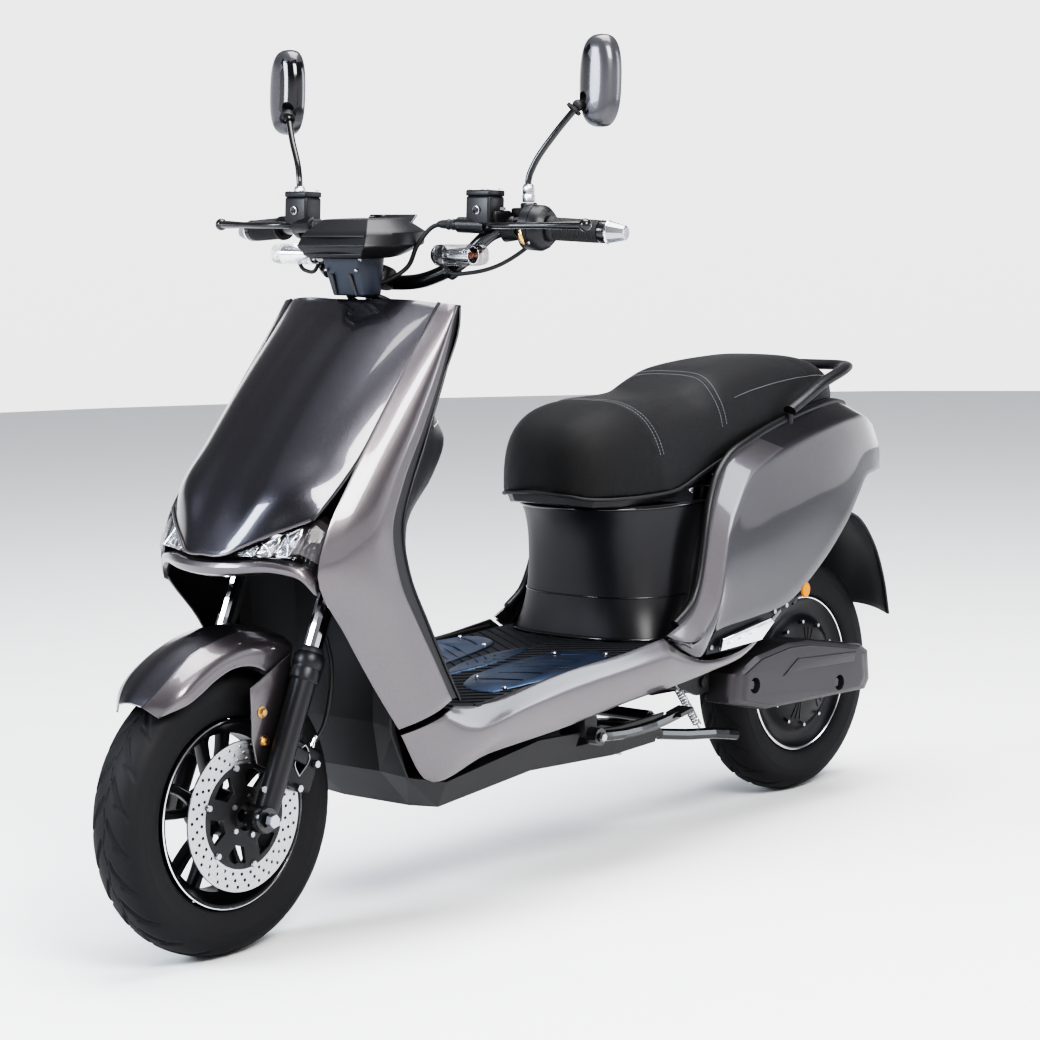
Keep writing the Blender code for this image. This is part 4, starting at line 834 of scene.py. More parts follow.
class ScooterSizes(PropertyGroup):
    tread_depth: FloatProperty(name="Tread depth", description="Depth of the grooves in the tyres",
        default=.0026, min=0.0, max=.005, unit="LENGTH")
    tread_pitch: IntProperty(name="Tread pitches", description="Groove pairs round each tyre",
        default=22, min=8, max=60)
    disc_holes: IntProperty(name="Disc holes", description="Holes in each ring of the brake disc",
        default=30, min=6, max=60)
    seat_swell: FloatProperty(name="Seat swell",
        description="Most that the padding may push the cover out", default=.007, min=0.0, max=.02,
        unit="LENGTH")
    stitch_pitch: FloatProperty(name="Stitch pitch",
        description="Distance from stitch to stitch on the seat", default=.0052, min=.002, max=.02,
        unit="LENGTH")
    rib_pitch: FloatProperty(name="Mat rib pitch",
        description="Distance between the ribs of the foot mat", default=.021, min=.008, max=.05,
        unit="LENGTH")
    coil_turns: FloatProperty(name="Spring turns", description="Turns of the shock's spring",
        default=7.0, min=3.0, max=12.0)


def looks():
    return bpy.context.scene.scooter_looks


def sizes():
    return bpy.context.scene.scooter_sizes


class PieceOperator:
    """What the operators below share: each makes its pieces, and can be undone."""
    bl_options = {"REGISTER", "UNDO"}


# ---------------------------------------------------------------- stage
class SCOOTER_OT_stage(PieceOperator, Operator):
    """Makes the finishes, the camera, the soft lights and the pale floor"""
    bl_idname = "scooter.stage"
    bl_label = "Stage and finishes"

    def execute(self, context):
        make_finishes(looks())
        scene = context.scene
        azimuth, elevation, roll = radians(40.74), radians(7.04), radians(-1.2)
        back = Vector((sin(azimuth) * cos(elevation), -cos(azimuth) * cos(elevation), sin(elevation)))
        right = (-back).cross(Vector((0, 0, 1))).normalized()
        up = right.cross(-back)
        tilted_right = right * cos(roll) + up * sin(roll)
        tilted_up = up * cos(roll) - right * sin(roll)
        lens_data = bpy.data.cameras.new("camera")
        lens_data.sensor_width = 36.0
        lens_data.lens = 104.757
        lens_data.clip_end = 60
        camera = bpy.data.objects.new("camera", lens_data)
        scene.collection.objects.link(camera)
        turn = Matrix((tilted_right, tilted_up, back)).transposed().to_4x4()
        camera.matrix_world = Matrix.Translation((3.057, -3.56, 1.123)) @ turn
        scene.camera = camera
        scene.view_settings.view_transform = "Filmic"
        scene.view_settings.look = "Very High Contrast"
        scene.view_settings.exposure = .55

        world = bpy.data.worlds.new("studio")
        world.use_nodes = True
        scene.world = world
        tree = world.node_tree
        sky = tree.nodes["Background"]
        where = node(tree, "ShaderNodeTexCoord")
        split = node(tree, "ShaderNodeSeparateXYZ")
        ramp = node(tree, "ShaderNodeValToRGB")
        stops = ramp.color_ramp.elements
        for place_at, level in ((.5, .92), (.56, .92), (.62, .1), (.85, .16)):
            stops.new(place_at).color = (level, level, level * 1.02, 1)
        stops[0].color, stops[-1].color = (.6, .6, .6, 1), (.55, .57, .6, 1)
        spread = node(tree, "ShaderNodeMapRange")
        spread.inputs["From Min"].default_value = -1
        wire(tree, (where, "Generated", split, 0), (split, "Z", spread, "Value"), (spread, 0, ramp, 0),
            (ramp, 0, sky, "Color"))
        sky.inputs["Strength"].default_value = .95

        for name, spot, aim, width, height, power, tint in (("key softbox", (3.4, -1.6, 3.2),
                (.1, -.1, .5), 2.0, 1.5, 130, (1, .99, .97)),
                ("front softbox", (-1.6, -4.2, 2.4), (0, -.5, .7), 1.8, 1.8, 130, (.84, .92, 1.0)),
                ("top softbox", (.2, .4, 4.0), (0, .1, .4), 3.0, 2.6, 120, (1, 1, 1)),
                ("tail strip", (3.0, 2.8, 1.6), (.1, .5, .5), .8, 2.2, 22, (.88, .94, 1.0))):
            data = bpy.data.lights.new(name, "AREA")
            data.shape = "RECTANGLE"
            data.size, data.size_y = width, height
            data.energy = power
            data.color = tint
            lamp = bpy.data.objects.new(name, data)
            scene.collection.objects.link(lamp)
            lamp.location = spot
            lamp.rotation_euler = (Vector(aim) - Vector(spot)).to_track_quat("-Z", "Y").to_euler()

        bm = bmesh.new()
        steps, reach = 48, 9.0
        rings = []
        for radius in (.5, 1.5, 3.0, 6.0, reach):
            rings.append([bm.verts.new((radius * cos(2 * pi * i / steps), radius *
                sin(2 * pi * i / steps), -.0004)) for i in range(steps)])
        bm.faces.new(rings[0])
        for a, b in zip(rings, rings[1:]):
            for i in range(steps):
                bm.faces.new((a[i], b[i], b[(i + 1) % steps], a[(i + 1) % steps]))
        floor = from_bmesh("floor", bm)
        finish, tree, surface = blank("pale floor")
        grain = group(tree, grain_effect, Scale=40.0, Depth=.02)
        tree.links.new(two_tone(tree, grain.outputs["Mottle"], (.86, .86, .865), (.9, .9, .905)),
            surface.inputs["Base Color"])
        surface.inputs["Roughness"].default_value = .75
        painted(floor, finish)
        return {"FINISHED"}


# ---------------------------------------------------------------- panels
SHIELD_ROWS = (  # middle, edge, swell of each level of the shield
    ((0, -.38, .908), (.1465, -.352, .9035), .004),
    ((0, -.452, .85), (.15, -.408, .838), .007),
    ((0, -.52, .785), (.152, -.468, .768), .009),
    ((0, -.59, .708), (.152, -.53, .695), .01),
    ((0, -.65, .632), (.147, -.583, .645), .01),
    ((0, -.686, .569), (.139, -.612, .617), .002))
BAND_LEVELS = (  # front edge and rear edge of the side band
    ((.15, -.35, .904), (.17, -.335, .897)),
    ((.153, -.417, .832), (.177, -.378, .812)),
    ((.155, -.485, .752), (.181, -.423, .735)),
    ((.158, -.552, .672), (.184, -.474, .655)),
    ((.16, -.603, .603), (.186, -.499, .592)),
    ((.158, -.622, .541), (.185, -.488, .53)),
    ((.15, -.562, .449), (.182, -.446, .451)),
    ((.153, -.513, .371), (.18, -.412, .396)),
    ((.158, -.468, .303), (.178, -.376, .334)))
SKIRT_LEVELS = (  # top edge and foot edge of the floor skirt
    ((.178, -.371, .325), (.157, -.463, .294)), ((.18, -.318, .318), (.158, -.417, .223)),
    ((.181, -.201, .331), (.17, -.288, .24)), ((.181, -.094, .341), (.173, -.115, .252)),
    ((.181, .02, .347), (.174, .043, .268)), ((.18, .117, .3565), (.174, .14, .274)),
    ((.179, .16, .33), (.174, .19, .2785)), ((.178, .214, .3085), (.173, .249, .284)),
    ((.174, .34, .31), (.17, .345, .298)), ((.17, .442, .36), (.166, .45, .352)))
REAR_LEVELS = (  # top edge and foot edge of the rear side panel
    ((.18, .126, .359), (.1795, .131, .352)), ((.1815, .18, .383), (.179, .17, .329)),
    ((.1815, .211, .42), (.178, .216, .313)), ((.18, .229, .468), (.179, .24, .335)),
    ((.177, .247, .528), (.179, .262, .35)), ((.172, .27, .573), (.1785, .36, .358)),
    ((.166, .308, .612), (.176, .455, .369)), ((.16, .37, .635), (.17, .56, .42)),
    ((.15, .448, .653), (.162, .645, .478)), ((.136, .55, .668), (.148, .705, .522)),
    ((.118, .645, .676), (.131, .755, .548)), ((.096, .73, .674), (.111, .81, .55)),
    ((.072, .79, .652), (.085, .862, .548)))
POCKET_LEVELS = (  # z, y at the middle, y at the edge, half width of the inner shield
    (.8985, -.366, -.346, .142), (.899, -.282, -.322, .1655), (.87, -.268, -.33, .17),
    (.8, -.29, -.368, .173), (.745, -.292, -.398, .176), (.7, -.262, -.424, .179),
    (.65, -.288, -.452, .1805), (.59, -.352, -.472, .1815), (.53, -.372, -.46, .1805),
    (.45, -.368, -.42, .1785), (.395, -.352, -.39, .177), (.33, -.345, -.352, .175))


def shield_grid():
    foot_half = .035
    rows = []
    for centre, edge, swell in SHIELD_ROWS:
        centre, edge = Vector(centre), Vector(edge)
        near = Vector((foot_half, centre.y + .002, centre.z))
        half = [centre, near]
        for t in (.25, .5, .75, .92, 1.0):
            bulge = swell * 4 * t * (1 - t) * 2.2
            half.append(mixed(near, edge, t) + Vector((.3 * bulge, -.75 * bulge, .35 * bulge)))
        rows.append([(-p[0], p[1], p[2]) for p in half[:0:-1]] + [tuple(p) for p in half])
    return fine_grid(rows, 8, 5)


def band_grid(side):
    rows = []
    for front, rear in BAND_LEVELS:
        front, rear = Vector(front), Vector(rear)
        rows.append([front, mixed(front, rear, .3) + Vector((.009, 0, 0)), mixed(front, rear, .65) +
            Vector((.01, 0, 0)), rear])
    return mirrored(fine_grid([[tuple(p) for p in row] for row in rows], 6, 6), side)


def skirt_grid(side):
    rows = []
    for top, foot in SKIRT_LEVELS:
        top, foot = Vector(top), Vector(foot)
        swell = .12 * (top - foot).length
        rows.append([tuple(top), tuple(mixed(top, foot, .35) + Vector((swell, 0, 0))),
            tuple(mixed(top, foot, .75) + Vector((swell * .8, 0, 0))), tuple(foot)])
    return mirrored(fine_grid(rows, 6, 5, fold_rows=(5,)), side)


def rear_grid(side):
    rows = []
    for top, foot in REAR_LEVELS:
        top, foot = Vector(top), Vector(foot)
        fall = (foot - top).normalized()
        crease = top + Vector((.012, .03, 0)) + fall * .03
        rows.append([tuple(top), tuple(crease), tuple(mixed(crease, foot, .5) + Vector((.006, 0, 0))),
            tuple(foot)])
    return mirrored(fine_grid(rows, 6, 6, fold_columns=(1,)), side)


def edge_bead(name, points, radius, sides=10, per_span=2):
    return pipe(name, points, radius, sides, per_span)


class SCOOTER_OT_front_panels(PieceOperator, Operator):
    """Shield, side bands, silver lip and floor skirts"""
    bl_idname = "scooter.front_panels"
    bl_label = "Front panels"

    def execute(self, context):
        grid = shield_grid()
        shield = shell("shield", grid, .003, (0, -.3, .62))
        place(shield, "chassis", "gunmetal", ("front_panel",), "gunmetal_paint")
        lip_line = grid[-1] + np.array((0, -.0012, .0006))
        place(edge_bead("shield_lip", lip_line[::3], .0024), "chassis", "silver", slot="silver_paint")
        for side_name, side in SIDES:
            band = shell(f"band_{side_name}", band_grid(side), .003, (0, -.45, .55))
            place(band, "chassis", "silver", (f"front_band_{side_name}",), "silver_paint")
            inner = grid[:, -1 if side > 0 else 0]
            trim = edge_bead(f"shield_trim_{side_name}", inner[::4] +
                np.array((.0018 * side, .0012, 0)), .0022)
            place(trim, "chassis", "satin black", slot="black_plastic")
            skirt = shell(f"skirt_{side_name}", skirt_grid(side), .003, (0, -.15, .29))
            place(skirt, "chassis", "silver", (f"floor_skirt_{side_name}",), "silver_paint")
        stations = ((0, -.694, .562, .538, .05), (.05, -.688, .563, .54, .05),
            (.11, -.66, .562, .543, .03), (.138, -.641, .553, .533, .02),
            (.151, -.627, .534, .512, .01))
        half = []
        for x, y, top, foot, depth in stations:
            half.append([(x, y + .014, top), (x, y + .003, mixed(top, foot, .12)),
                (x, y, mixed(top, foot, .4)), (x, y + .003, mixed(top, foot, .8)), (x, y + .012, foot),
                (x, y + depth, foot + .002), (x, y + depth, top)])
        rings = [[(-p[0], p[1], p[2]) for p in ring] for ring in half[:0:-1]] + half
        lip = closed_loft("nose_lip", [list(map(tuple, ring)) for ring in resampled(rings, 6)], 28,
            .0012)
        place(lip, "chassis", "silver", ("nose_bar",), "silver_paint")
        return {"FINISHED"}


class SCOOTER_OT_inner_shield(PieceOperator, Operator):
    """Black inner side of the leg shield with its pocket, seam and hook"""
    bl_idname = "scooter.inner_shield"
    bl_label = "Inner shield"

    def execute(self, context):
        rows = []
        for z, middle, edge, half in POCKET_LEVELS:
            row = []
            for t in (-1, -.72, -.42, 0, .42, .72, 1):
                blend = 1 - abs(t) ** 2.2 if abs(t) > .5 else 1 - .1 * abs(t)
                row.append((half * t, edge + (middle - edge) * max(0, min(1, blend)), z))
            rows.append(row)
        grid = fine_grid(rows, 5, 6, fold_rows=(1,))
        inner = shell("inner_shield_cover", grid, .0028, (0, -.5, .62))
        neck = lathe("neck_cutter", ((0, -.1), (.03, -.1), (.03, .1), (0, .1)), (0, -.3315, .9), STEER,
            40)
        cut_away(inner, neck)
        place(inner, "chassis", "satin black", ("inner_shield",), "black_plastic")
        seam_row = grid[22] + np.array((0, .0012, 0))
        place(edge_bead("pocket_seam", seam_row[3:-3:3], .0011), "chassis", "gloss black",
            slot="black_plastic")
        table = np.array(POCKET_LEVELS)[:0:-1]
        for side_name, side in SIDES:
            rows = []
            for _, rear in BAND_LEVELS:
                half, edge = (float(np.interp(rear[2], table[:, 0], table[:, i])) for i in (3, 2))
                start = Vector(rear) + Vector((-.003, -.004, 0))
                end = Vector((half - .003, edge + .004, rear[2]))
                rows.append([tuple(start), tuple(mixed(start, end, .5)), tuple(end)])
            strip = shell(f"shield_return_{side_name}", mirrored(fine_grid(rows, 6, 3), side), .0022,
                (0, -.44, .6))
            place(strip, "chassis", "satin black", slot="black_plastic")
        hook = pipe("bag_hook", ((0, -.352, .6), (0, -.33, .604), (0, -.312, .596), (0, -.305, .58),
            (0, -.31, .566)), .0045, 14, 6)
        boss = lathe("bag_hook_boss", ((0, 0), (.011, 0), (.011, .004), (.008, .008), (0, .008)),
            (0, -.351, .6), (0, 1, 0), 28)
        place(joined("bag_hook_set", [painted(hook, "black enamel"), painted(boss, "black enamel")]),
            "chassis", slot="black_plastic")
        collar = lathe("neck_collar", ((.0302, -.004), (.0302, .004), (.036, .0055), (.04, .003),
            (.04, 0.0), (.036, -.004)), (0, -.332, .9005), STEER, 44, closed=True)
        place(collar, "chassis", "boot rubber", slot="black_plastic")
        return {"FINISHED"}


class SCOOTER_OT_rear_body(PieceOperator, Operator):
    """Rear side panels, seat box, grab rail, tail lamp and rear mudguard"""
    bl_idname = "scooter.rear_body"
    bl_label = "Rear body"

    def execute(self, context):
        for side_name, side in SIDES:
            grid = rear_grid(side)
            panel = shell(f"rear_side_{side_name}", grid, .003, (0, .42, .48))
            panel.data.materials.append(FINISHES["gunmetal"])
            panel.data.materials.append(FINISHES["silver"])
            # the upper facet along the front part of the panel is given the lighter titanium paint: a
            # painted highlight on the facet that catches the light; the rest stays gunmetal
            facet = 6.0 / 18.0
            layer = panel.data.uv_layers[0].data
            for face in panel.data.polygons:
                across = sum(layer[i].uv[0] for i in face.loop_indices) / face.loop_total
                along = sum(layer[i].uv[1] for i in face.loop_indices) / face.loop_total
                face.material_index = int(across < facet and along < .62)
            place(panel, "chassis", None, (f"rear_panel_{side_name}",), "gunmetal_paint")
            strip = np.array(grid[3:, 0]) + np.array((-.0075 * side, .001, .001))
            place(edge_bead(f"rear_trim_{side_name}", strip[::5], .008, 12, 3), "chassis",
                "satin black", slot="black_plastic")
        levels = ((.346, .148, .128, .176), (.4, .144, .12, .22), (.46, .142, .118, .238),
            (.53, .146, .13, .262), (.558, .15, .146, .28))
        rows = []
        for z, half_x, reach, wing_y in levels:
            wing_x = .1745 - .006 * (z - .34) / .2
            row = [(wing_x, wing_y + .01, z), (half_x + .006, wing_y, z)]
            for i in range(13):
                angle = pi * i / 12
                c, s = cos(angle), sin(angle)
                row.append((half_x * abs(c) ** .72 * (1 if c >= 0 else -1), wing_y - .01 -
                    (reach + wing_y - .235) * abs(s) ** .85, z))
            row += [(-half_x - .006, wing_y, z), (-wing_x, wing_y + .01, z)]
            rows.append(row)
        grid = fine_grid(rows, 10, 5)
        box = shell("seat_box_cover", grid, .003, (0, .3, .45))
        place(box, "chassis", "satin black", ("seat_box",), "black_plastic")
        seam = grid[12] + np.array((0, -.0003, 0))
        place(edge_bead("seat_box_seam", seam[8:-8:3], .0012), "chassis", "gloss black",
            slot="black_plastic")
        rim = grid[-1] + np.array((0, -.0006, -.004))
        place(edge_bead("seat_box_rim", rim[8:-8:3], .0026), "chassis", "gloss black",
            slot="black_plastic")
        foot = grid[0] + np.array((0, -.002, .001))
        place(edge_bead("seat_box_foot", foot[8:-8:3], .0032), "chassis", "gloss black",
            slot="black_plastic")

        half = [(.143, .512, .68), (.1465, .548, .697), (.145, .595, .716), (.13, .685, .735),
            (.092, .742, .737), (0, .762, .736)]
        route = half + [(-x, y, z) for x, y, z in half[-2::-1]]
        bar = pipe("rail_bar", route, .013, 18, 8, flat=.66)
        feet = [pipe(f"rail_foot_{side_name}", ((.143 * side, .512, .676), (.139 * side, .516, .655),
            (.133 * side, .522, .628)), .0062, 12, 4) for side_name, side in SIDES]
        rail = joined("rail", [painted(p, "satin black") for p in [bar] + feet])
        place(rail, "chassis", None, ("grab_rail",), "black_steel")

        rings = []
        for x in (-.066, -.055, -.03, 0, .03, .055, .066):
            near = 1 - (abs(x) / .075) ** 2
            rings.append([(x, .72, .668), (x, .778, .66), (x, .828 + .014 * near, .62),
                (x, .866 + .012 * near, .556), (x, .84, .544), (x, .72, .556)])
        tail = closed_loft("tail_lamp_cover", [list(map(tuple, r)) for r in resampled(rings, 3)], 25,
            .0025)
        place(tail, "chassis", "tail cover", ("tail_lamp",), "tail_lens")
        bars = []
        for i, z in enumerate((.578, .592, .606)):
            y = .8765 - (z - .556) * .6
            path = [(x, y + .0125 * (1 - (x / .075) ** 2) - .01, z) for x in
                np.linspace(-.052, .052, 9)]
            bars.append(painted(edge_bead(f"tail_rib_{i}", path, .0013), "tail cover"))
        place(joined("tail_ribs", bars), "chassis", slot="tail_lens")

        rows = []
        for y, z, half_x in ((.64, .5, .085), (.73, .502, .088), (.805, .484, .092), (.85, .435, .094),
                (.878, .37, .096), (.9, .3, .092)):
            rows.append([(x, y - .02 * (abs(x) / half_x) ** 2, z - .012 * (abs(x) / half_x) ** 2) for x
                in (-half_x, -half_x * .6, 0, half_x * .6, half_x)])
        guard = shell("mud_flap", fine_grid(rows, 6, 4), .004, tuple(REAR_AXLE))
        place(guard, "chassis", "satin black", ("rear_mudguard",), "black_plastic")
        for side_name, side in SIDES:
            disc = lathe(f"side_reflector_{side_name}", ((0, 0), (.013, 0), (.013, .003),
                (.0115, .0045), (0, .005)), (.169 * side, .513, .383), (side, .15, 0), 32)
            place(disc, "chassis", "orange reflector", slot="tail_lens")
            stalk = pipe(f"reflector_arm_{side_name}", ((.166 * side, .48, .364),
                (.1655 * side, .5, .376), (.1695 * side, .513, .383)), .004, 10, 3)
            place(stalk, "chassis", "satin black", slot="black_plastic")
        return {"FINISHED"}


# ---------------------------------------------------------------- lamps
LAMP_FACE = ((.046, -.6795, .568), (.136, -.6125, .614), (.1535, -.602, .601), (.15, -.624, .548),
    (.142, -.637, .56), (.132, -.648, .5675))


class SCOOTER_OT_headlamps(PieceOperator, Operator):
    """Three-chamber headlamps with bright bezels behind clear covers"""
    bl_idname = "scooter.headlamps"
    bl_label = "Headlamps"

    def execute(self, context):
        for side_name, side in SIDES:
            face = [Vector(p) for p in LAMP_FACE]
            top_run = (face[0], face[1])
            low_run = (face[0], face[5])
            ahead = Vector((.3, -.93, .12)).normalized()
            back = [p + Vector((-.014 if p.x > .13 else 0, .045, .004)) for p in face]
            bowl_front = [p - ahead * .0035 for p in face]
            bowl = closed_loft(f"bowl_{side_name}", [mirrored([tuple(p) for p in back], side),
                mirrored([tuple(mixed(p, q, .55)) for p, q in zip(bowl_front, back)], side)])
            painted(bowl, "silver")
            parts = [bowl]
            for k in range(3):
                a, b = .1 + .29 * k, .1 + .29 * (k + 1) - .035
                corners = [mixed(*top_run, a), mixed(*top_run, b), mixed(*low_run, b),
                    mixed(*low_run, a)]
                middle = sum(corners, Vector()) / 4
                corners = [middle + (c - middle) * .84 - ahead * .004 for c in corners]
                frame_line = []
                for i in range(4):
                    p, q = corners[i], corners[(i + 1) % 4]
                    frame_line += [mixed(p, q, t) for t in (.12, .5, .88)]
                deep = [middle + (c - middle) * .45 - ahead * .019 for c in frame_line]
                lip = [middle + (c - middle) * 1.1 - ahead * .0008 for c in frame_line]
                cup_rows = [[tuple(p) for p in row + row[:1]] for row in
                    (lip, frame_line, [mixed(p, q, .5) - ahead * .002 for p, q in
                    zip(frame_line, deep)], deep)]
                cup = shell(f"cup_{k}_{side_name}", mirrored(fine_grid(cup_rows, 3, 2), side), .0008,
                    tuple(mirrored([tuple(middle - ahead * .05)], side)[0]), 0)
                parts.append(painted(cup, "chrome"))
                for t in (0.0, 1.0):
                    p = corners[0 if t == 0 else 1]
                    q = corners[2 if t == 0 else 3]
                    bar = pipe(f"blade_{k}_{t:.0f}_{side_name}",
                        mirrored([tuple(p + ahead * .0005), tuple(middle - ahead * .004),
                        tuple(q + ahead * .0005)], side), .0013, 8, 5)
                    parts.append(painted(bar, "chrome"))
                spot = Vector(mirrored([tuple(middle - ahead * .0185)], side)[0])
                diode = lathe(f"diode_{k}_{side_name}", ((0, 0), (.0052, 0), (.0046, .003),
                    (.0025, .0048), (0, .0052)), spot, (ahead.x * side, ahead.y, ahead.z), 20)
                parts.append(painted(diode, "diode"))
            place(joined(f"lamp_inside_{side_name}", parts), "chassis", None,
                (f"headlamp_{side_name}",), "chrome")
            rows = []
            low = [face[0], face[5], face[4], face[3]]
            high = [face[0] + Vector((.001, -.0005, .001)), mixed(face[0], face[1], .8), face[1],
                face[2]]
            for t in (0, .33, .67, 1):
                rows.append([tuple(mixed(a, b, t) + ahead * (.0035 * 4 * t * (1 - t) - .0004)) for a, b
                    in zip(low, high)])
            cover = shell(f"lamp_cover_{side_name}", mirrored(fine_grid(rows, 4, 5), side), .0014,
                tuple(mirrored([(.1, -.55, .57)], side)[0]), 0)
            place(cover, "chassis", "lamp cover", slot="clear_lens")
            ridges = []
            for k in range(4):
                t = .2 + .2 * k
                p = mixed(mixed(face[5], face[3], t), mixed(face[1], face[2], t), .12)
                q = mixed(mixed(face[5], face[3], t), mixed(face[1], face[2], t), .88)
                ridges.append(painted(pipe(f"ridge_{k}_{side_name}",
                    mirrored([tuple(p + ahead * .0022), tuple(mixed(p, q, .5) + ahead * .004),
                    tuple(q + ahead * .0022)], side), .001, 8, 4), "lamp cover"))
            place(joined(f"lamp_ridges_{side_name}", ridges), "chassis", slot="clear_lens")
        return {"FINISHED"}


# ---------------------------------------------------------------- deck and underside
def deck_height(y):
    return float(np.interp(y, (-.341, -.3, -.094, .04, .2), (.312, .313, .332, .339, .344)))


class SCOOTER_OT_deck(PieceOperator, Operator):
    """Foot deck, ribbed mat, slotted foot plates, belly and floor edge trim"""
    bl_idname = "scooter.deck"
    bl_label = "Foot deck"

    def execute(self, context):
        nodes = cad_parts
        painted(nodes["floor_board"], "deck rubber")
        painted(nodes["belly_pan"], "boot rubber")
        rows = []
        for y in np.linspace(-.33, .165, 34):
            inner = min(.168, .168)
            rows.append([(x, y, deck_height(y) + .0022 + .0008 * cos(x / .168 * pi / 2)) for x in
                np.linspace(-inner, inner, 17)])
        mat = shell("foot_mat", np.array(rows), .002, (0, 0, -1), .0008)
        place(mat, "chassis", "deck rubber", slot="deck_rubber")
        pitch = sizes().rib_pitch
        paths = []
        for k in range(-14, 26):
            start_y = -.34 + k * pitch
            for side in (1, -1):
                path = []
                for t in np.linspace(0, 1, 24):
                    x = .01 + .15 * t
                    y = start_y + .62 * (x - .01)
                    if -.318 < y < .12 + 0.0 * x:
                        path.append((x * side, y, deck_height(y) + .0031 + .0006 * cos(x * 9.3)))
                if len(path) > 3:
                    paths.append(path)
        ribs = stitches("mat_ribs", paths, "deck rubber", .0075, .0078, .0013)
        place(ribs, "chassis", slot="deck_rubber")

        def on_deck(x, y, lift=.0036):
            return Vector((x, y, deck_height(y) + lift))

        for side_name, side in SIDES:
            line = ((.046, -.185), (.074, -.235), (.14, -.246), (.158, -.205), (.158, .01), (.142, .03),
                (.08, .012), (.052, -.06))
            outer = resampled(list(line) + [line[0]], 4)[:-1]
            middle = outer.mean(0)
            rings = []
            for lift, grow in ((.0028, 1.0), (.0046, .997), (.0056, .975)):
                rings.append([tuple(on_deck(*(middle + (p - middle) * grow) * np.array((side, 1)),
                    lift)) for p in outer])
            plate_piece = closed_loft(f"foot_plate_{side_name}", rings, 25)
            cutters = []
            for k in range(5):
                y = -.2 + .045 * k
                x0, x1 = .07 + .004 * k, .14
                slot_bar = pipe(f"slot_{k}", [(x0 * side, y, deck_height(y) + .006),
                    ((x0 + x1) / 2 * side, y + .016, deck_height(y) + .007),
                    (x1 * side, y + .026, deck_height(y) + .0075)], .0034, 12, 3)
                cutters.append(slot_bar)
            cut_away(plate_piece, joined("slots", cutters))
            place(plate_piece, "chassis", "tread plate", slot="steel")
            spots = [(on_deck(x * side, y, .0066), (0, -.05, 1)) for x, y in
                ((.062, -.19), (.148, -.226), (.15, .01), (.072, -.02))]
            place(heads(f"plate_screws_{side_name}", spots, .0042, .0022, "steel", 24, .7), "chassis",
                slot="steel")
        leaf = [(0, -.205), (.02, -.15), (.026, -.09), (.016, -.03), (0, .005), (-.016, -.03),
            (-.026, -.09), (-.02, -.15)]
        outline = resampled(leaf + leaf[:1], 4)[:-1]
        rings = [[tuple(on_deck(p[0] * g, -.1 + (p[1] + .1) * g, lift)) for p in outline] for lift, g in
            ((.0028, 1.0), (.0044, .99), (.0052, .94))]
        place(closed_loft("centre_leaf", rings, 25), "chassis", "tread plate", slot="steel")
        for side_name, side in SIDES:
            line = [(.1765 * side, y, deck_height(y) + .0035) for y in np.linspace(-.325, .11, 16)]
            place(edge_bead(f"deck_edge_{side_name}", line, .0042), "chassis", "satin black",
                slot="black_plastic")
        return {"FINISHED"}


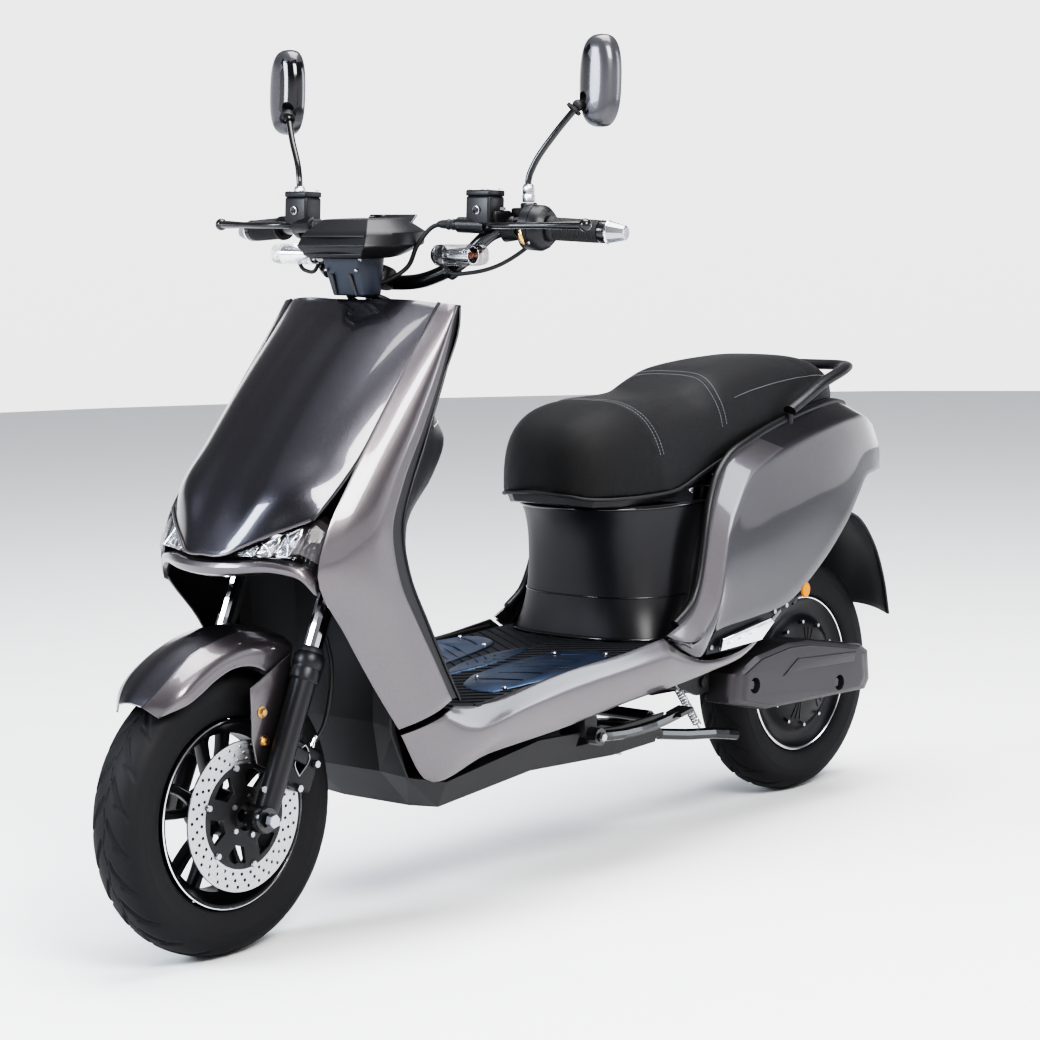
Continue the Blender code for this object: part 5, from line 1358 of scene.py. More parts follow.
class SCOOTER_OT_underside(PieceOperator, Operator):
    """Frame, battery, stands with their springs, passenger plates and their screws"""
    bl_idname = "scooter.underside"
    bl_label = "Frame and stands"

    def execute(self, context):
        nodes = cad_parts
        for name, finish in (("main_frame", "frame black"), ("battery", "battery case"),
                ("controller", "cast black"), ("side_stand", "black enamel"),
                ("centre_stand", "black enamel"), ("swing_arm", "frame black"),
                ("seat_base", "satin black")):
            painted(nodes[name], finish)
        axis = Vector((0, .205, .208))
        for side_name, side in SIDES:
            start = Vector((.118 * side, .225, .262))
            end = axis + Vector((.089 * side, .122, -.04))
            run = (end - start).normalized()
            across = run.cross(Vector((0, 0, 1))).normalized()
            lift = run.cross(across)
            turns, reach, length = 13, .006, (end - start).length
            coil = [tuple(start + run * (.018 + (length - .036) * t) +
                (across * cos(turns * 2 * pi * t) + lift * sin(turns * 2 * pi * t)) * reach) for t in
                np.linspace(0, 1, turns * 9)]
            spring = painted(pipe(f"stand_coil_{side_name}", coil, .0013, 6, 1), "steel")
            hooks = [painted(pipe(f"stand_hook_{i}_{side_name}", [tuple(p), tuple(q)], .0014, 6, 2),
                "steel") for i, (p, q) in enumerate(((start, start + run * .02),
                (end - run * .02, end)))]
            place(joined(f"stand_spring_{side_name}", [spring] + hooks), "chassis", slot="steel")
            plate_outline = resampled([(.262, .316), (.372, .319), (.408, .344), (.397, .352),
                (.268, .335), (.262, .316)], 4, sharp=(1, 2, 3, 4))[:-1]
            peg = plate(f"passenger_step_{side_name}", plate_outline, .177 * side, .1836 * side, .0014)
            cutters = []
            for k in range(3):
                y = .286 + .03 * k
                z = .3285 + .0035 * k
                cutters.append(rounded_block(f"step_slot_{k}", (.004, .018, .0045),
                    (.1842 * side, y, z), (radians(10), 0, 0), .0008))
            cut_away(peg, joined("step_slots", cutters))
            place(peg, f"passenger_plate_{side_name}", "chrome", (f"passenger_plate_{side_name}",),
                "chrome")
            recess = [(.24, .311), (.252, .34), (.272, .351), (.4, .366), (.47, .372), (.5, .376),
                (.43, .338), (.36, .309)]
            dark = plate(f"step_recess_{side_name}", recess, .165 * side, .169 * side, .001)
            place(dark, "chassis", "satin black", slot="black_plastic")
            spots = [((.169 * side, y, z), (side, 0, 0)) for y, z in
                ((.252, .322), (.425, .358), (.458, .364))]
            place(heads(f"step_bolts_{side_name}", spots, .005, .0035, "steel"), "chassis",
                slot="steel")
        spots = [((.1775, -.035, .224), (1, 0, 0))]
        place(heads("side_stand_bolt", spots, .0075, .005, "steel"), "chassis", slot="steel")
        spots = [((.0845 * side, .205, .208), (side, 0, 0)) for _, side in SIDES]
        place(heads("centre_stand_bolts", spots, .007, .005, "steel"), "chassis", slot="steel")
        spots = [((x, y, z), (0, -.2, -1)) for x, y, z in
            ((.1, -.3, .1665), (-.1, -.3, .1665), (.1, .1, .1685), (-.1, .1, .1685))]
        place(heads("belly_screws", spots, .006, .003, "steel", 20, .7), "chassis", slot="steel")
        return {"FINISHED"}


# ---------------------------------------------------------------- wheels
def treaded_tyre(name, centre, half_width, phase):
    """A tyre whose tread is cut by slanted grooves, with a rim line on each wall."""
    outer = [(.1345, -half_width * .72), (.1385, -half_width * .86), (.158, -half_width * .985),
        (.173, -half_width), (.186, -half_width * .94), (.1965, -half_width * .76),
        (.2025, -half_width * .48), (.2048, -half_width * .2), (.205, 0)]
    outer = outer + [(r, -x) for r, x in outer[-2::-1]]
    line = resampled(outer, 6)
    steps = 560
    around = np.arange(steps) * 2 * pi / steps
    radius, across = line[:, 0], line[:, 1]
    lean = across / half_width
    depth = sizes().tread_depth
    pitches = sizes().tread_pitch
    r = np.repeat(radius[None, :], steps, 0)
    x = np.repeat(across[None, :], steps, 0)
    u = np.repeat(lean[None, :], steps, 0)
    a = around[:, None]
    cycle = (a * pitches / (2 * pi) + phase)
    for sign, offset in ((1, 0.0), (-1, .5)):
        slash = (cycle + offset - 1.25 * sign * u) % 1.0
        reach = np.clip((sign * u - .1) / .05, 0, 1) * np.clip((.86 - sign * u) / .06, 0, 1)
        width = .15 - .07 * np.abs(u)
        groove = np.clip((width - np.abs(slash - .5)) / .035, 0, 1) * reach
        r = r - depth * groove * (r > .18)
        short = (cycle + offset + .45 - .5 * sign * u) % 1.0
        reach = np.clip((sign * u - .34) / .05, 0, 1) * np.clip((.7 - sign * u) / .05, 0, 1)
        r = r - depth * .8 * np.clip((.055 - np.abs(short - .5)) / .03, 0, 1) * reach
    centre_line = np.clip((.018 - np.abs(u + .05 * np.sin(a * pitches))) / .012, 0, 1)
    r = r - depth * .7 * centre_line
    wall = .0006 * np.clip((.0016 - np.abs(r - .168)) / .0008, 0, 1)
    x = x + np.sign(x) * wall
    inside = [(.1362, half_width * .55), (.17, half_width * .6), (.17, -half_width * .6),
        (.1362, -half_width * .55)]
    for rr, xx in inside:
        r = np.concatenate((r, np.full((steps, 1), rr)), 1)
        x = np.concatenate((x, np.full((steps, 1), xx)), 1)
    columns = r.shape[1]
    points = np.stack((x + centre.x, centre.y + r * np.cos(a), centre.z + r * np.sin(a)), -1)
    vertices = points.reshape(-1, 3)
    faces = []
    for i in range(steps):
        k = (i + 1) % steps
        for j in range(columns):
            m = (j + 1) % columns
            faces.append((i * columns + j, i * columns + m, k * columns + m, k * columns + j))
    mesh = bpy.data.meshes.new(name)
    mesh.from_pydata(vertices.tolist(), [], faces)
    bm = bmesh.new()
    bm.from_mesh(mesh)
    return from_bmesh(name, bm, 50)


def spoke_pair(name, centre, angle, lean, half_x):
    """One of the paired spokes: a tapered, rounded bar from hub to rim."""
    tip_angle = angle + radians(lean)
    rings = []
    foot = Vector((0, cos(angle), sin(angle))) * .026 + Vector((0, cos(tip_angle), sin(tip_angle))) * .002
    tip = Vector((0, cos(tip_angle), sin(tip_angle))) * .1175
    bow = Vector((0, -sin(tip_angle), cos(tip_angle))) * (.004 if lean > 0 else -.004)
    path = resampled([tuple(foot), tuple(mixed(foot, tip, .5) + bow), tuple(tip)], 7)
    for i, p in enumerate(path):
        t = i / (len(path) - 1)
        run = Vector(path[min(i + 1, len(path) - 1)] - path[max(i - 1, 0)]).normalized()
        wide = Vector((1, 0, 0)).cross(run) * (.0085 - .003 * sin(pi * t))
        deep = Vector((half_x * (1.0 - .18 * t), 0, 0))
        middle = centre + Vector(p)
        rings.append([middle + wide * c + deep * s for c, s in
            ((-1, -.6), (-.6, -1), (.6, -1), (1, -.6), (1, .6), (.6, 1), (-.6, 1), (-1, .6))])
    return closed_loft(name, rings, 40)


class SCOOTER_OT_front_wheel(PieceOperator, Operator):
    """Front tyre, spoked rim with polished lip, and drilled brake disc"""
    bl_idname = "scooter.front_wheel"
    bl_label = "Front wheel"

    def execute(self, context):
        tyre = treaded_tyre("front_tyre_cover", FRONT_AXLE, .0425, 0.0)
        place(tyre, "front_wheel", "tyre rubber", ("front_tyre",), "tyre_rubber")
        barrel = [(.1345, -.039), (.1325, -.0405), (.13, -.0395), (.129, -.034), (.13, -.021),
            (.13, .021), (.129, .034), (.13, .0395), (.1325, .0405), (.1345, .039), (.129, .0372),
            (.1265, .033), (.118, .023), (.113, .018), (.113, -.018), (.118, -.023), (.1265, -.033),
            (.129, -.0372)]
        rim = painted(lathe("rim_barrel", [(r - .0008, x) for r, x in barrel[::-1]], FRONT_AXLE,
            (1, 0, 0), 96, True), "wheel black")
        hub = painted(lathe("hub_shell", [(.009, -.0355), (.026, -.0355), (.03, -.033), (.033, -.015),
            (.033, .015), (.03, .033), (.026, .0355), (.009, .0355)], FRONT_AXLE, (1, 0, 0), 48, True),
            "wheel black")
        parts = [rim, hub]
        for index in range(5):
            for lean in (-11, 11):
                angle = radians(index * 72 + 90)
                parts.append(painted(spoke_pair(f"spoke_{index}_{lean}", FRONT_AXLE, angle, lean,
                    .0125), "wheel black"))
        for side in (1, -1):
            parts.append(painted(lathe(f"lip_{side}", [(.1292, .0362), (.133, .0412), (.1347, .0405),
                (.135, .038), (.1325, .0392), (.13, .0352)], FRONT_AXLE, (side, 0, 0), 96, True),
                "polished lip"))
        place(joined("spoked_rim", parts), "front_wheel", None, ("front_rim",), "wheel_alloy")
        disc_x = .0595
        ring = lathe("disc_ring", [(.0745, disc_x - .0018), (.0745, disc_x + .0018),
            (.1066, disc_x + .0018), (.107, disc_x + .0012), (.107, disc_x - .0012),
            (.1066, disc_x - .0018)], FRONT_AXLE, (1, 0, 0), 120, True)
        holes = []
        count = sizes().disc_holes
        for i in range(count):
            for k, radius in enumerate((.0815, .0905, .0995)):
                angle = 2 * pi * (i + (0, .34, .68)[k]) / count
                holes.append(((disc_x, FRONT_AXLE.y + radius * cos(angle), FRONT_AXLE.z + radius *
                    sin(angle)), (1, 0, 0)))
        punched = heads("disc_perforations", holes, .0024, .012, "disc", 14, 1.0)
        shift = punched.data
        shift.transform(Matrix.Translation((-.006, 0, 0)))
        cut_away(ring, punched)
        painted(ring, "disc")
        carrier = lathe("carrier", [(.02, disc_x - .003), (.074, disc_x - .0022),
            (.074, disc_x + .0024), (.04, disc_x + .0044), (.036, disc_x + .0062),
            (.02, disc_x + .0062)], FRONT_AXLE, (1, 0, 0), 72, True)
        windows = []
        for i in range(6):
            angle = 2 * pi * i / 6 + .2
            centre = Vector((disc_x, FRONT_AXLE.y + .054 * cos(angle), FRONT_AXLE.z + .054 * sin(angle)))
            rings = []
            for x in (-.012, .012):
                ring_points = []
                for r, a in ((.043, -.2), (.043, .2), (.066, .3), (.068, 0), (.066, -.3)):
                    ring_points.append((disc_x + x, FRONT_AXLE.y + r * cos(angle + a), FRONT_AXLE.z + r
                        * sin(angle + a)))
                rings.append(ring_points)
            windows.append(closed_loft(f"window_{i}", rings))
            del centre
        cut_away(carrier, joined("windows", windows))
        painted(carrier, "cast black")
        buttons = heads("disc_bolts", [((disc_x + .003, FRONT_AXLE.y + .0715 *
            cos(2 * pi * i / 6 + .72), FRONT_AXLE.z + .0715 * sin(2 * pi * i / 6 + .72)), (1, 0, 0)) for
            i in range(6)], .0052, .0028, "steel", 20, .8)
        inner = heads("carrier_bolts", [((disc_x + .0056, FRONT_AXLE.y + .0285 * cos(2 * pi * i / 5),
            FRONT_AXLE.z + .0285 * sin(2 * pi * i / 5)), (1, 0, 0)) for i in range(5)], .0046, .0034,
            "steel", 6, .9)
        seat = painted(lathe("disc_seat", [(.009, .0358), (.02, .0358), (.03, .038),
            (.034, disc_x - .0025), (.009, disc_x - .0025)], FRONT_AXLE, (1, 0, 0), 40, True),
            "cast black")
        place(joined("drilled_disc", [ring, carrier, buttons, inner, seat]), "front_wheel", None,
            ("brake_disc",), "steel")
        valve = pipe("valve", ((.006, FRONT_AXLE.y, FRONT_AXLE.z - .118),
            (.01, FRONT_AXLE.y, FRONT_AXLE.z - .104), (.02, FRONT_AXLE.y, FRONT_AXLE.z - .094)), .0032,
            12, 4)
        place(valve, "front_wheel", "boot rubber", slot="black_plastic")
        return {"FINISHED"}


class SCOOTER_OT_rear_wheel(PieceOperator, Operator):
    """Rear tyre and hub motor with ribbed, bolted covers"""
    bl_idname = "scooter.rear_wheel"
    bl_label = "Rear wheel"

    def execute(self, context):
        tyre = treaded_tyre("rear_tyre_cover", REAR_AXLE, .044, .3)
        place(tyre, "rear_wheel", "tyre rubber", ("rear_tyre",), "tyre_rubber")
        half = [(0, .0498), (.0195, .0498), (.0235, .0462), (.025, .045), (.06, .0432), (.085, .0402),
            (.095, .0345), (.1, .0302), (.106, .0282), (.118, .03), (.1262, .0345), (.129, .0372),
            (.1335, .0368), (.1345, .035), (.13, .0215)]
        profile = half + [(r, -x) for r, x in half[::-1]]
        body = painted(lathe("motor_body", profile, REAR_AXLE, (1, 0, 0), 96), "wheel black")
        parts = [body]
        for side in (1, -1):
            spots = [((.04 * side, REAR_AXLE.y + .0905 * cos(2 * pi * i / 12), REAR_AXLE.z + .0905 *
                sin(2 * pi * i / 12)), (side, 0, 0)) for i in range(12)]
            parts.append(heads(f"motor_bolts_{side}", spots, .0036, .005, "steel", 18, .85))
            ribs = []
            for i in range(6):
                angle = 2 * pi * i / 6 + .26
                for spread in (-.16, 0.0, .16):
                    ribs.append([(side * x, REAR_AXLE.y + r * cos(angle + spread * (r / .08)),
                        REAR_AXLE.z + r * sin(angle + spread * (r / .08))) for r, x in
                        ((.034, .0446), (.048, .044), (.062, .0431), (.078, .0414))])
            parts.append(stitches(f"motor_ribs_{side}", ribs, "grey satin", .0055, .0057, .0011))
            parts.append(painted(lathe(f"motor_lip_{side}",
                [(.127, .0352), (.1325, .0378), (.1347, .0366), (.13, .0345)], REAR_AXLE, (side, 0, 0),
                96, True), "polished lip"))
        place(joined("motor_wheel", parts), "rear_wheel", None, ("hub_motor",), "wheel_alloy")
        return {"FINISHED"}


# ---------------------------------------------------------------- fork
def on_leg(along, x, ahead=0.0):
    """A point on a fork leg's line, at a distance along it from axle height."""
    return LEG_FOOT + STEER * along + Vector((x, -cos(RAKE) * ahead, sin(RAKE) * ahead))


def about_axle(radius, degrees, x):
    angle = radians(degrees)
    return (x, FRONT_AXLE.y - sin(angle) * radius, FRONT_AXLE.z + cos(angle) * radius)


class SCOOTER_OT_fork(PieceOperator, Operator):
    """Fork sliders with dust caps, chrome tubes and yoke, fender with its plates, and the caliper"""
    bl_idname = "scooter.fork"
    bl_label = "Fork and fender"

    def execute(self, context):
        painted(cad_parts["fork_upper"], "chrome")
        for side_name, side in SIDES:
            x = LEG_X * side
            leg = lathe("leg", [(.015, -.014), (.0165, -.01), (.0172, .02), (.0182, .14), (.019, .2),
                (.019, .205), (.0155, .205), (.0155, .11), (0, .11), (0, -.014)], on_leg(0, x), STEER,
                44)
            cap = lathe("cap", [(.0192, .198), (.0222, .201), (.0225, .212), (.0212, .2155),
                (.0212, .219), (.0225, .2215), (.0222, .234), (.019, .2395), (.0156, .24),
                (.0156, .198)], on_leg(0, x), STEER, 44, True)
            boss = lathe("boss", [(0, -.015), (.0185, -.015), (.019, -.012), (.019, .014),
                (.0175, .017), (0, .017)], FRONT_AXLE + Vector((x, 0, 0)), (side, 0, 0), 40)
            boot = lathe("boot", [(.0148, .239), (.0185, .2388), (.018, .244), (.016, .2475),
                (.0148, .248)], on_leg(0, x), STEER, 36, True)
            parts = [painted(leg, "satin black"), painted(cap, "satin black"),
                painted(boss, "black enamel"), painted(boot, "boot rubber")]
            nut_x = x + .017 * side
            parts.append(heads("nut", [((nut_x + .004 * side, FRONT_AXLE.y, FRONT_AXLE.z),
                (side, 0, 0))], .0105, .009, "steel", 6, .95))
            parts.append(heads("pinch", [(on_leg(-.004, x, -.0185) + Vector((0.0, 0, 0)), (0, .9, .42)),
                (on_leg(.036, x, .016), (side, -.5, .3))], .0055, .005, "steel", 6, .9))
            place(joined(f"fork_leg_{side_name}", parts), "fork_lower", None,
                (f"fork_slider_{side_name}",), "black_alloy")
            outline = [(-.672, .384), (-.59, .424), (-.597, .352), (-.637, .262), (-.664, .276),
                (-.671, .31)]
            soft = resampled(outline + outline[:1], 5, sharp=(0, 1, 2, 3, 4, 5))[:-1]
            side_plate = plate(f"fender_plate_{side_name}", soft, .0662 * side, .0698 * side, .0014)
            place(side_plate, "fork_lower", "silver", (f"fender_bracket_{side_name}",), "grey_satin")
            spots = [((.0712 * side, -.652, .348), (side, 0, 0)),
                ((.0712 * side, -.648, .306), (side, 0, 0))]
            place(joined(f"plate_bolts_{side_name}", [heads("bolt_heads", spots, .0058, .0055,
                "gold bolt"), heads("bolt_washers", [((p[0] - .0012 * side, p[1], p[2]), d) for p, d in
                spots], .0085, .0016, "gold bolt", 28, 1.0)]), "fork_lower", slot="steel")
        rows = []
        for degrees in (41, 37, 31, 23, 14, 4, -6, -16, -25):
            tip = max(0.0, (degrees - 27) / 14)
            half = .062 - .022 * tip ** 2
            crown = .262 - .00058 * max(0, degrees + 5) + .0003 * max(0, -5 - degrees)
            drop = .046 - .02 * tip + .022 * min(1, max(0, -degrees) / 20)
            edge = [about_axle(crown - drop, degrees, half + .003),
                about_axle(crown - .024, degrees, half), about_axle(crown - .007, degrees, half * .62),
                about_axle(crown, degrees, 0)]
            rows.append(edge + [(-p[0], p[1], p[2]) for p in edge[-2::-1]])
        fender = shell("fender", fine_grid(rows, 8, 7, fold_columns=(2, 4)), .0028, tuple(FRONT_AXLE))
        fender.data.materials.append(FINISHES["gunmetal"])
        fender.data.materials.append(FINISHES["silver"])
        # the side facets beyond the folds are given the lighter titanium paint: a painted highlight on the
        # facets that catch the light; the crown stays gunmetal
        layer = fender.data.uv_layers[0].data
        for face in fender.data.polygons:
            across = sum(layer[i].uv[0] for i in face.loop_indices) / face.loop_total
            face.material_index = int(abs(across - .5) > 1 / 6)
        place(fender, "fork_lower", None, ("front_fender",), "gunmetal_paint")

        lean = (radians(-28), 0, 0)
        centre = Vector((.0635, -.588, .262))
        body = rounded_block("caliper_body", (.043, .062, .066), centre, lean, .007)
        lug = rounded_block("caliper_lug", (.012, .05, .02), (.088, -.608, .285), lean, .003)
        slot_room = lathe("disc_room", [(0, .0561), (.1085, .0561), (.1085, .0635), (0, .0635)],
            FRONT_AXLE, (1, 0, 0), 96)
        cut_away(body, slot_room)
        window = plate("window", [(-.598, .25), (-.576, .272), (-.584, .292), (-.606, .268)], .03, .1,
            .001)
        cut_away(body, window)
        room = lathe("leg_space", [(0, -.02), (.02, -.02), (.02, .24), (0, .24)], on_leg(0, LEG_X),
            STEER, 36)
        room_copy = room.copy()
        room_copy.data = room.data.copy()
        bpy.context.scene.collection.objects.link(room_copy)
        cut_away(body, room)
        cut_away(lug, room_copy)
        parts = [painted(body, "cast black"), painted(lug, "cast black")]
        rim = [tuple(centre + Vector((.0222, dy, dz))) for dy, dz in
            ((-.01, -.012), (.012, .01), (.004, .03), (-.018, .006), (-.01, -.012))]
        parts.append(painted(pipe("bright_rim", rim, .0011, 8, 3), "steel"))
        spots = [((.086, -.566, .262), (1, 0, 0)), ((.086, -.6015, .233), (1, 0, 0))]
        parts.append(heads("caliper_pins", spots, .006, .006, "steel", 6, .92))
        place(joined("caliper_set", parts), "fork_lower", None, ("brake_caliper",), "black_alloy")
        hose = pipe("lower_hose", ((.078, -.56, .29), (.08, -.545, .305), (.084, -.532, .345),
            (.088, -.53, .4), (.089, -.54, .44)), .0034, 12, 8)
        fitting = lathe("hose_fitting", [(0, 0), (.0065, 0), (.0065, .008), (.0045, .011), (.0045, .02),
            (0, .02)], (.076, -.566, .283), (.1, .45, .8), 24)
        place(joined("brake_hose_low", [painted(hose, "boot rubber"), painted(fitting, "chrome")]),
            "fork_lower", slot="black_plastic")
        return {"FINISHED"}


# ---------------------------------------------------------------- cockpit
BAR_SWEEP = radians(12.5)
HALF_BAR = ((.225, -.251, 1.008), (.185, -.266, 1.002), (.135, -.29, .957), (.075, -.298, .933))
BAR_ROUTE = HALF_BAR + ((0, -.298, .928),) + tuple((-x, y, z) for x, y, z in HALF_BAR[::-1])


def on_bar(x):
    run = abs(x) - .225
    return Vector((x, -.251 + run * tan(BAR_SWEEP), 1.008 - run * .06))


class SCOOTER_OT_handlebar(PieceOperator, Operator):
    """Handlebar with clamp, bar ends, grips and the round switch box"""
    bl_idname = "scooter.handlebar"
    bl_label = "Handlebar and grips"

    def execute(self, context):
        bar = painted(pipe("bar_tube", BAR_ROUTE, .011, 28, 9), "black enamel")
        parts = [bar]
        for side in (1, -1):
            inner, outer = on_bar(.222 * side), on_bar(.3455 * side)
            parts.append(painted(lathe("bar_run", [(0, 0), (.011, 0), (.011, (outer - inner).length),
                (0, (outer - inner).length)], inner, outer - inner, 28), "black enamel"))
            run = (outer - inner).normalized()
            parts.append(painted(lathe("bar_end", [(0, .0012), (.016, .0012), (.0165, .003),
                (.016, .012), (0, .012)], on_bar(.345 * side), run, 40), "black enamel"))
            parts.append(painted(lathe("bar_end_cone", [(0, .011), (.015, .011), (.0158, .0158),
                (.0105, .04), (.0085, .0418), (0, .042)], on_bar(.345 * side), run, 10, angle=20),
                "steel"))
            parts.append(painted(lathe("bright_ring", [(.0163, .0122), (.0169, .0139), (.0163, .0156),
                (.0129, .015), (.0129, .0128)], on_bar(.345 * side), run, 40, True), "chrome"))
        clamp = lathe("bar_clamp", [(0, -.013), (.0225, -.013), (.024, -.011), (.024, .011),
            (.0225, .013), (0, .013)], (0, -.3155, .9375), STEER, 40)
        parts.append(painted(clamp, "cast black"))
        place(joined("bar_assembly", parts), "steering", None, ("handlebar",), "black_steel")

        for side, body, stands, name in ((1, "steering", "grip_left", "left_grip"),
                (-1, "throttle", "throttle_grip", "right_grip")):
            start, end = on_bar(.268 * side), on_bar(.345 * side)
            length = (end - start).length
            profile = [(.0114, 0.0), (.0184, 0.0), (.0186, .005), (.0168, .008)]
            ribs = 15
            for i in range(ribs):
                a = .01 + (length - .016) * i / ribs
                step = (length - .016) / ribs
                profile += [(.0156, a), (.0165, a + step * .25), (.0165, a + step * .7),
                    (.0156, a + step * .95)]
            profile += [(.0164, length - .004), (.016, length), (.0114, length)]
            grip = lathe(name, profile, start, end - start, 44, True)
            place(grip, body, "grip rubber", (stands,), "deck_rubber")

        start, end = on_bar(.227), on_bar(.2674)
        length = (end - start).length
        box = lathe("switch_box", [(.0114, 0), (.0255, 0), (.0315, .0035), (.0325, .01), (.0327, .0176),
            (.0318, .0182), (.0318, .0192), (.0329, .0198), (.0328, length - .012),
            (.0295, length - .0055), (.0245, length), (.0114, length)], start, end - start, 56, True)
        run = (end - start).normalized()
        arc = []
        for t in np.linspace(-.75, -.05, 9):
            arc.append(tuple(on_bar(.239) + Vector((0, -cos(t) * .0332, sin(t) * .0332)) + run * .004))
        brass = pipe("brass_arc", arc, .004, 12, 2, ends=((0, .0012), (.3, .0042), (.7, .0042),
            (1, .0012)))
        spots = [(on_bar(.251) + Vector((0, -.0255, -.02)), (0, -.78, -.62)),
            (on_bar(.251) + Vector((0, .019, -.0265)), (0, .6, -.8))]
        screws = heads("switch_screws", spots, .0028, .0022, "steel", 20, .8)
        buttons = [lathe(f"push_button_{i}", [(0, 0), (r, 0), (r, .0035), (r * .7, .005), (0, .0052)],
            on_bar(.25) + Vector((0, .0295 * cos(a), .0295 * sin(a))), (0, cos(a), sin(a)), 28) for i,
            (r, a) in enumerate(((.0062, .95), (.0055, -.75)))]
        place(joined("switch_box_set", [painted(box, "satin black"), painted(brass, "brass"), screws,
            painted(buttons[0], "gloss black"), painted(buttons[1], "orange reflector")]), "steering",
            None, ("switch_housing",), "black_plastic")
        low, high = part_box("indicator_switch")
        middle = (low + high) / 2
        slider = rounded_block("indicator_slider", (.0178, .0046, .0108), middle, (0, 0, 0), .0012)
        place(slider, "indicator_switch", "steel", ("indicator_switch",), "steel")
        return {"FINISHED"}


class SCOOTER_OT_brakes(PieceOperator, Operator):
    """Brake perches with reservoirs, and the ball-end levers"""
    bl_idname = "scooter.hand_brakes"
    bl_label = "Hand brakes"

    def execute(self, context):
        for side_name, side in SIDES:
            inner = Vector((.14 * side, -.303, 1.013))
            outer = Vector((.19 * side, -.2925, 1.0112))
            run = outer - inner
            cylinder = lathe("cylinder", [(0, 0), (.008, 0), (.0085, .004), (.0112, .006),
                (.0115, .012), (.0115, run.length), (0, run.length)], inner, run, 32)
            tank = rounded_block("tank", (.0455, .0355, .042), (.183 * side, -.286, 1.0325),
                (radians(-4), 0, 0), .0045)
            lid = rounded_block("lid", (.045, .0352, .0085), (.183 * side, -.2845, 1.0572),
                (radians(-4), 0, 0), .0022)
            glass_rim = lathe("glass_rim", [(0, 0), (.0062, 0), (.0064, .0016), (.005, .0022),
                (.0048, .0012), (0, .0012)], (.183 * side, -.3042, 1.034), (0, -1, -.07), 36)
            sight = lathe("sight", [(0, 0), (.0047, 0), (.0042, .0018), (0, .0024)],
                (.183 * side, -.3048, 1.034), (0, -1, -.07), 32)
            clamp = lathe("clamp", [(0, 0), (.018, 0), (.0186, .002), (.0186, .02), (.018, .022),
                (0, .022)], (.196 * side, -.2615, 1.0045), (.022 * side, .008, .0035), 40)
            arm = rounded_block("arm", (.022, .038, .017), (.2 * side, -.277, 1.0235), (0, 0, 0), .004)
            stack = lathe("mirror_boss", [(0, 0), (.0125, 0), (.0125, .012), (.0105, .014), (0, .014)],
                (.23 * side, -.244, 1.0285), (0, 0, 1), 32)
            bridge = rounded_block("boss_bridge", (.026, .018, .013), (.22 * side, -.249, 1.029),
                (0, 0, radians(20 * side)), .003)
            spots = [((x * side, y, 1.0616), (0, -.07, 1)) for x, y in
                ((.166, -.298), (.2, -.298), (.166, -.271), (.2, -.271))]
            lid_screws = heads("lid_screws", spots, .0028, .0018, "steel", 18, .7)
            pivot_screw = heads("lever_screw", [((.197 * side, -.2925, 1.0335), (0, 0, 1)),
                ((.207 * side, -.2755, 1.033), (0, 0, 1))], .0052, .004, "steel", 6, .9)
            parts = [painted(cylinder, "cast black"), painted(tank, "satin black"),
                painted(lid, "satin black"), painted(glass_rim, "steel"), painted(sight, "screen"),
                painted(clamp, "cast black"), painted(arm, "cast black"),
                painted(stack, "black enamel"), painted(bridge, "cast black"), lid_screws, pivot_screw]
            place(joined(f"perch_{side_name}", parts), "steering", None, (f"brake_perch_{side_name}",),
                "black_alloy")
            boot = lathe(f"hose_boot_{side_name}", [(0, 0), (.0072, 0), (.0084, .004), (.007, .008),
                (.0082, .012), (.0066, .016), (.006, .024), (.004, .03), (0, .03)], inner +
                run.normalized() * .002, -run, 28)
            hose = pipe(f"hose_{side_name}", (tuple(inner - run.normalized() * .024),
                tuple(inner - run.normalized() * .038 + Vector((0, .002, -.004))),
                (.084 * side, -.322, .985), (.062 * side, -.322, .952), (.046 * side, -.34, .936),
                (.03 * side, -.352, .928)), .0034, 12, 8)
            place(joined(f"hose_run_{side_name}", [painted(boot, "boot rubber"),
                painted(hose, "boot rubber")]), "steering", slot="black_plastic")

            foot = Vector((.197 * side, -.292, 1.012))
            tip = Vector((.365 * side, -.282, 1.012))
            path = [tuple(foot + Vector((-.006 * side, 0, 0))),
                tuple(mixed(foot, tip, .1) + Vector((0, -.014, 0))),
                tuple(mixed(foot, tip, .28) + Vector((0, -.0205, 0))),
                tuple(mixed(foot, tip, .6) + Vector((0, -.016, 0))), tuple(tip)]
            blade = pipe("blade", path, .005, 16, 10, .8, ((0, .006), (.15, .007), (.35, .0062),
                (.75, .006), (.92, .0078), (1, .0074)))
            ball = lathe("ball", [(.0094 * sin(a), -.0094 * cos(a)) for a in np.linspace(0, pi, 15)],
                tip, (1, 0, 0), 28)
            eye = lathe("eye", [(0, -.0054), (.0084, -.0054), (.0086, -.004), (.0086, .004),
                (.0084, .0054), (0, .0054)], foot, (0, 0, 1), 28)
            lever = joined(f"lever_{side_name}", [painted(p, "black enamel") for p in
                (blade, ball, eye)])
            place(lever, f"brake_lever_{side_name}", None, (f"brake_lever_{side_name}",), "black_alloy")
        return {"FINISHED"}


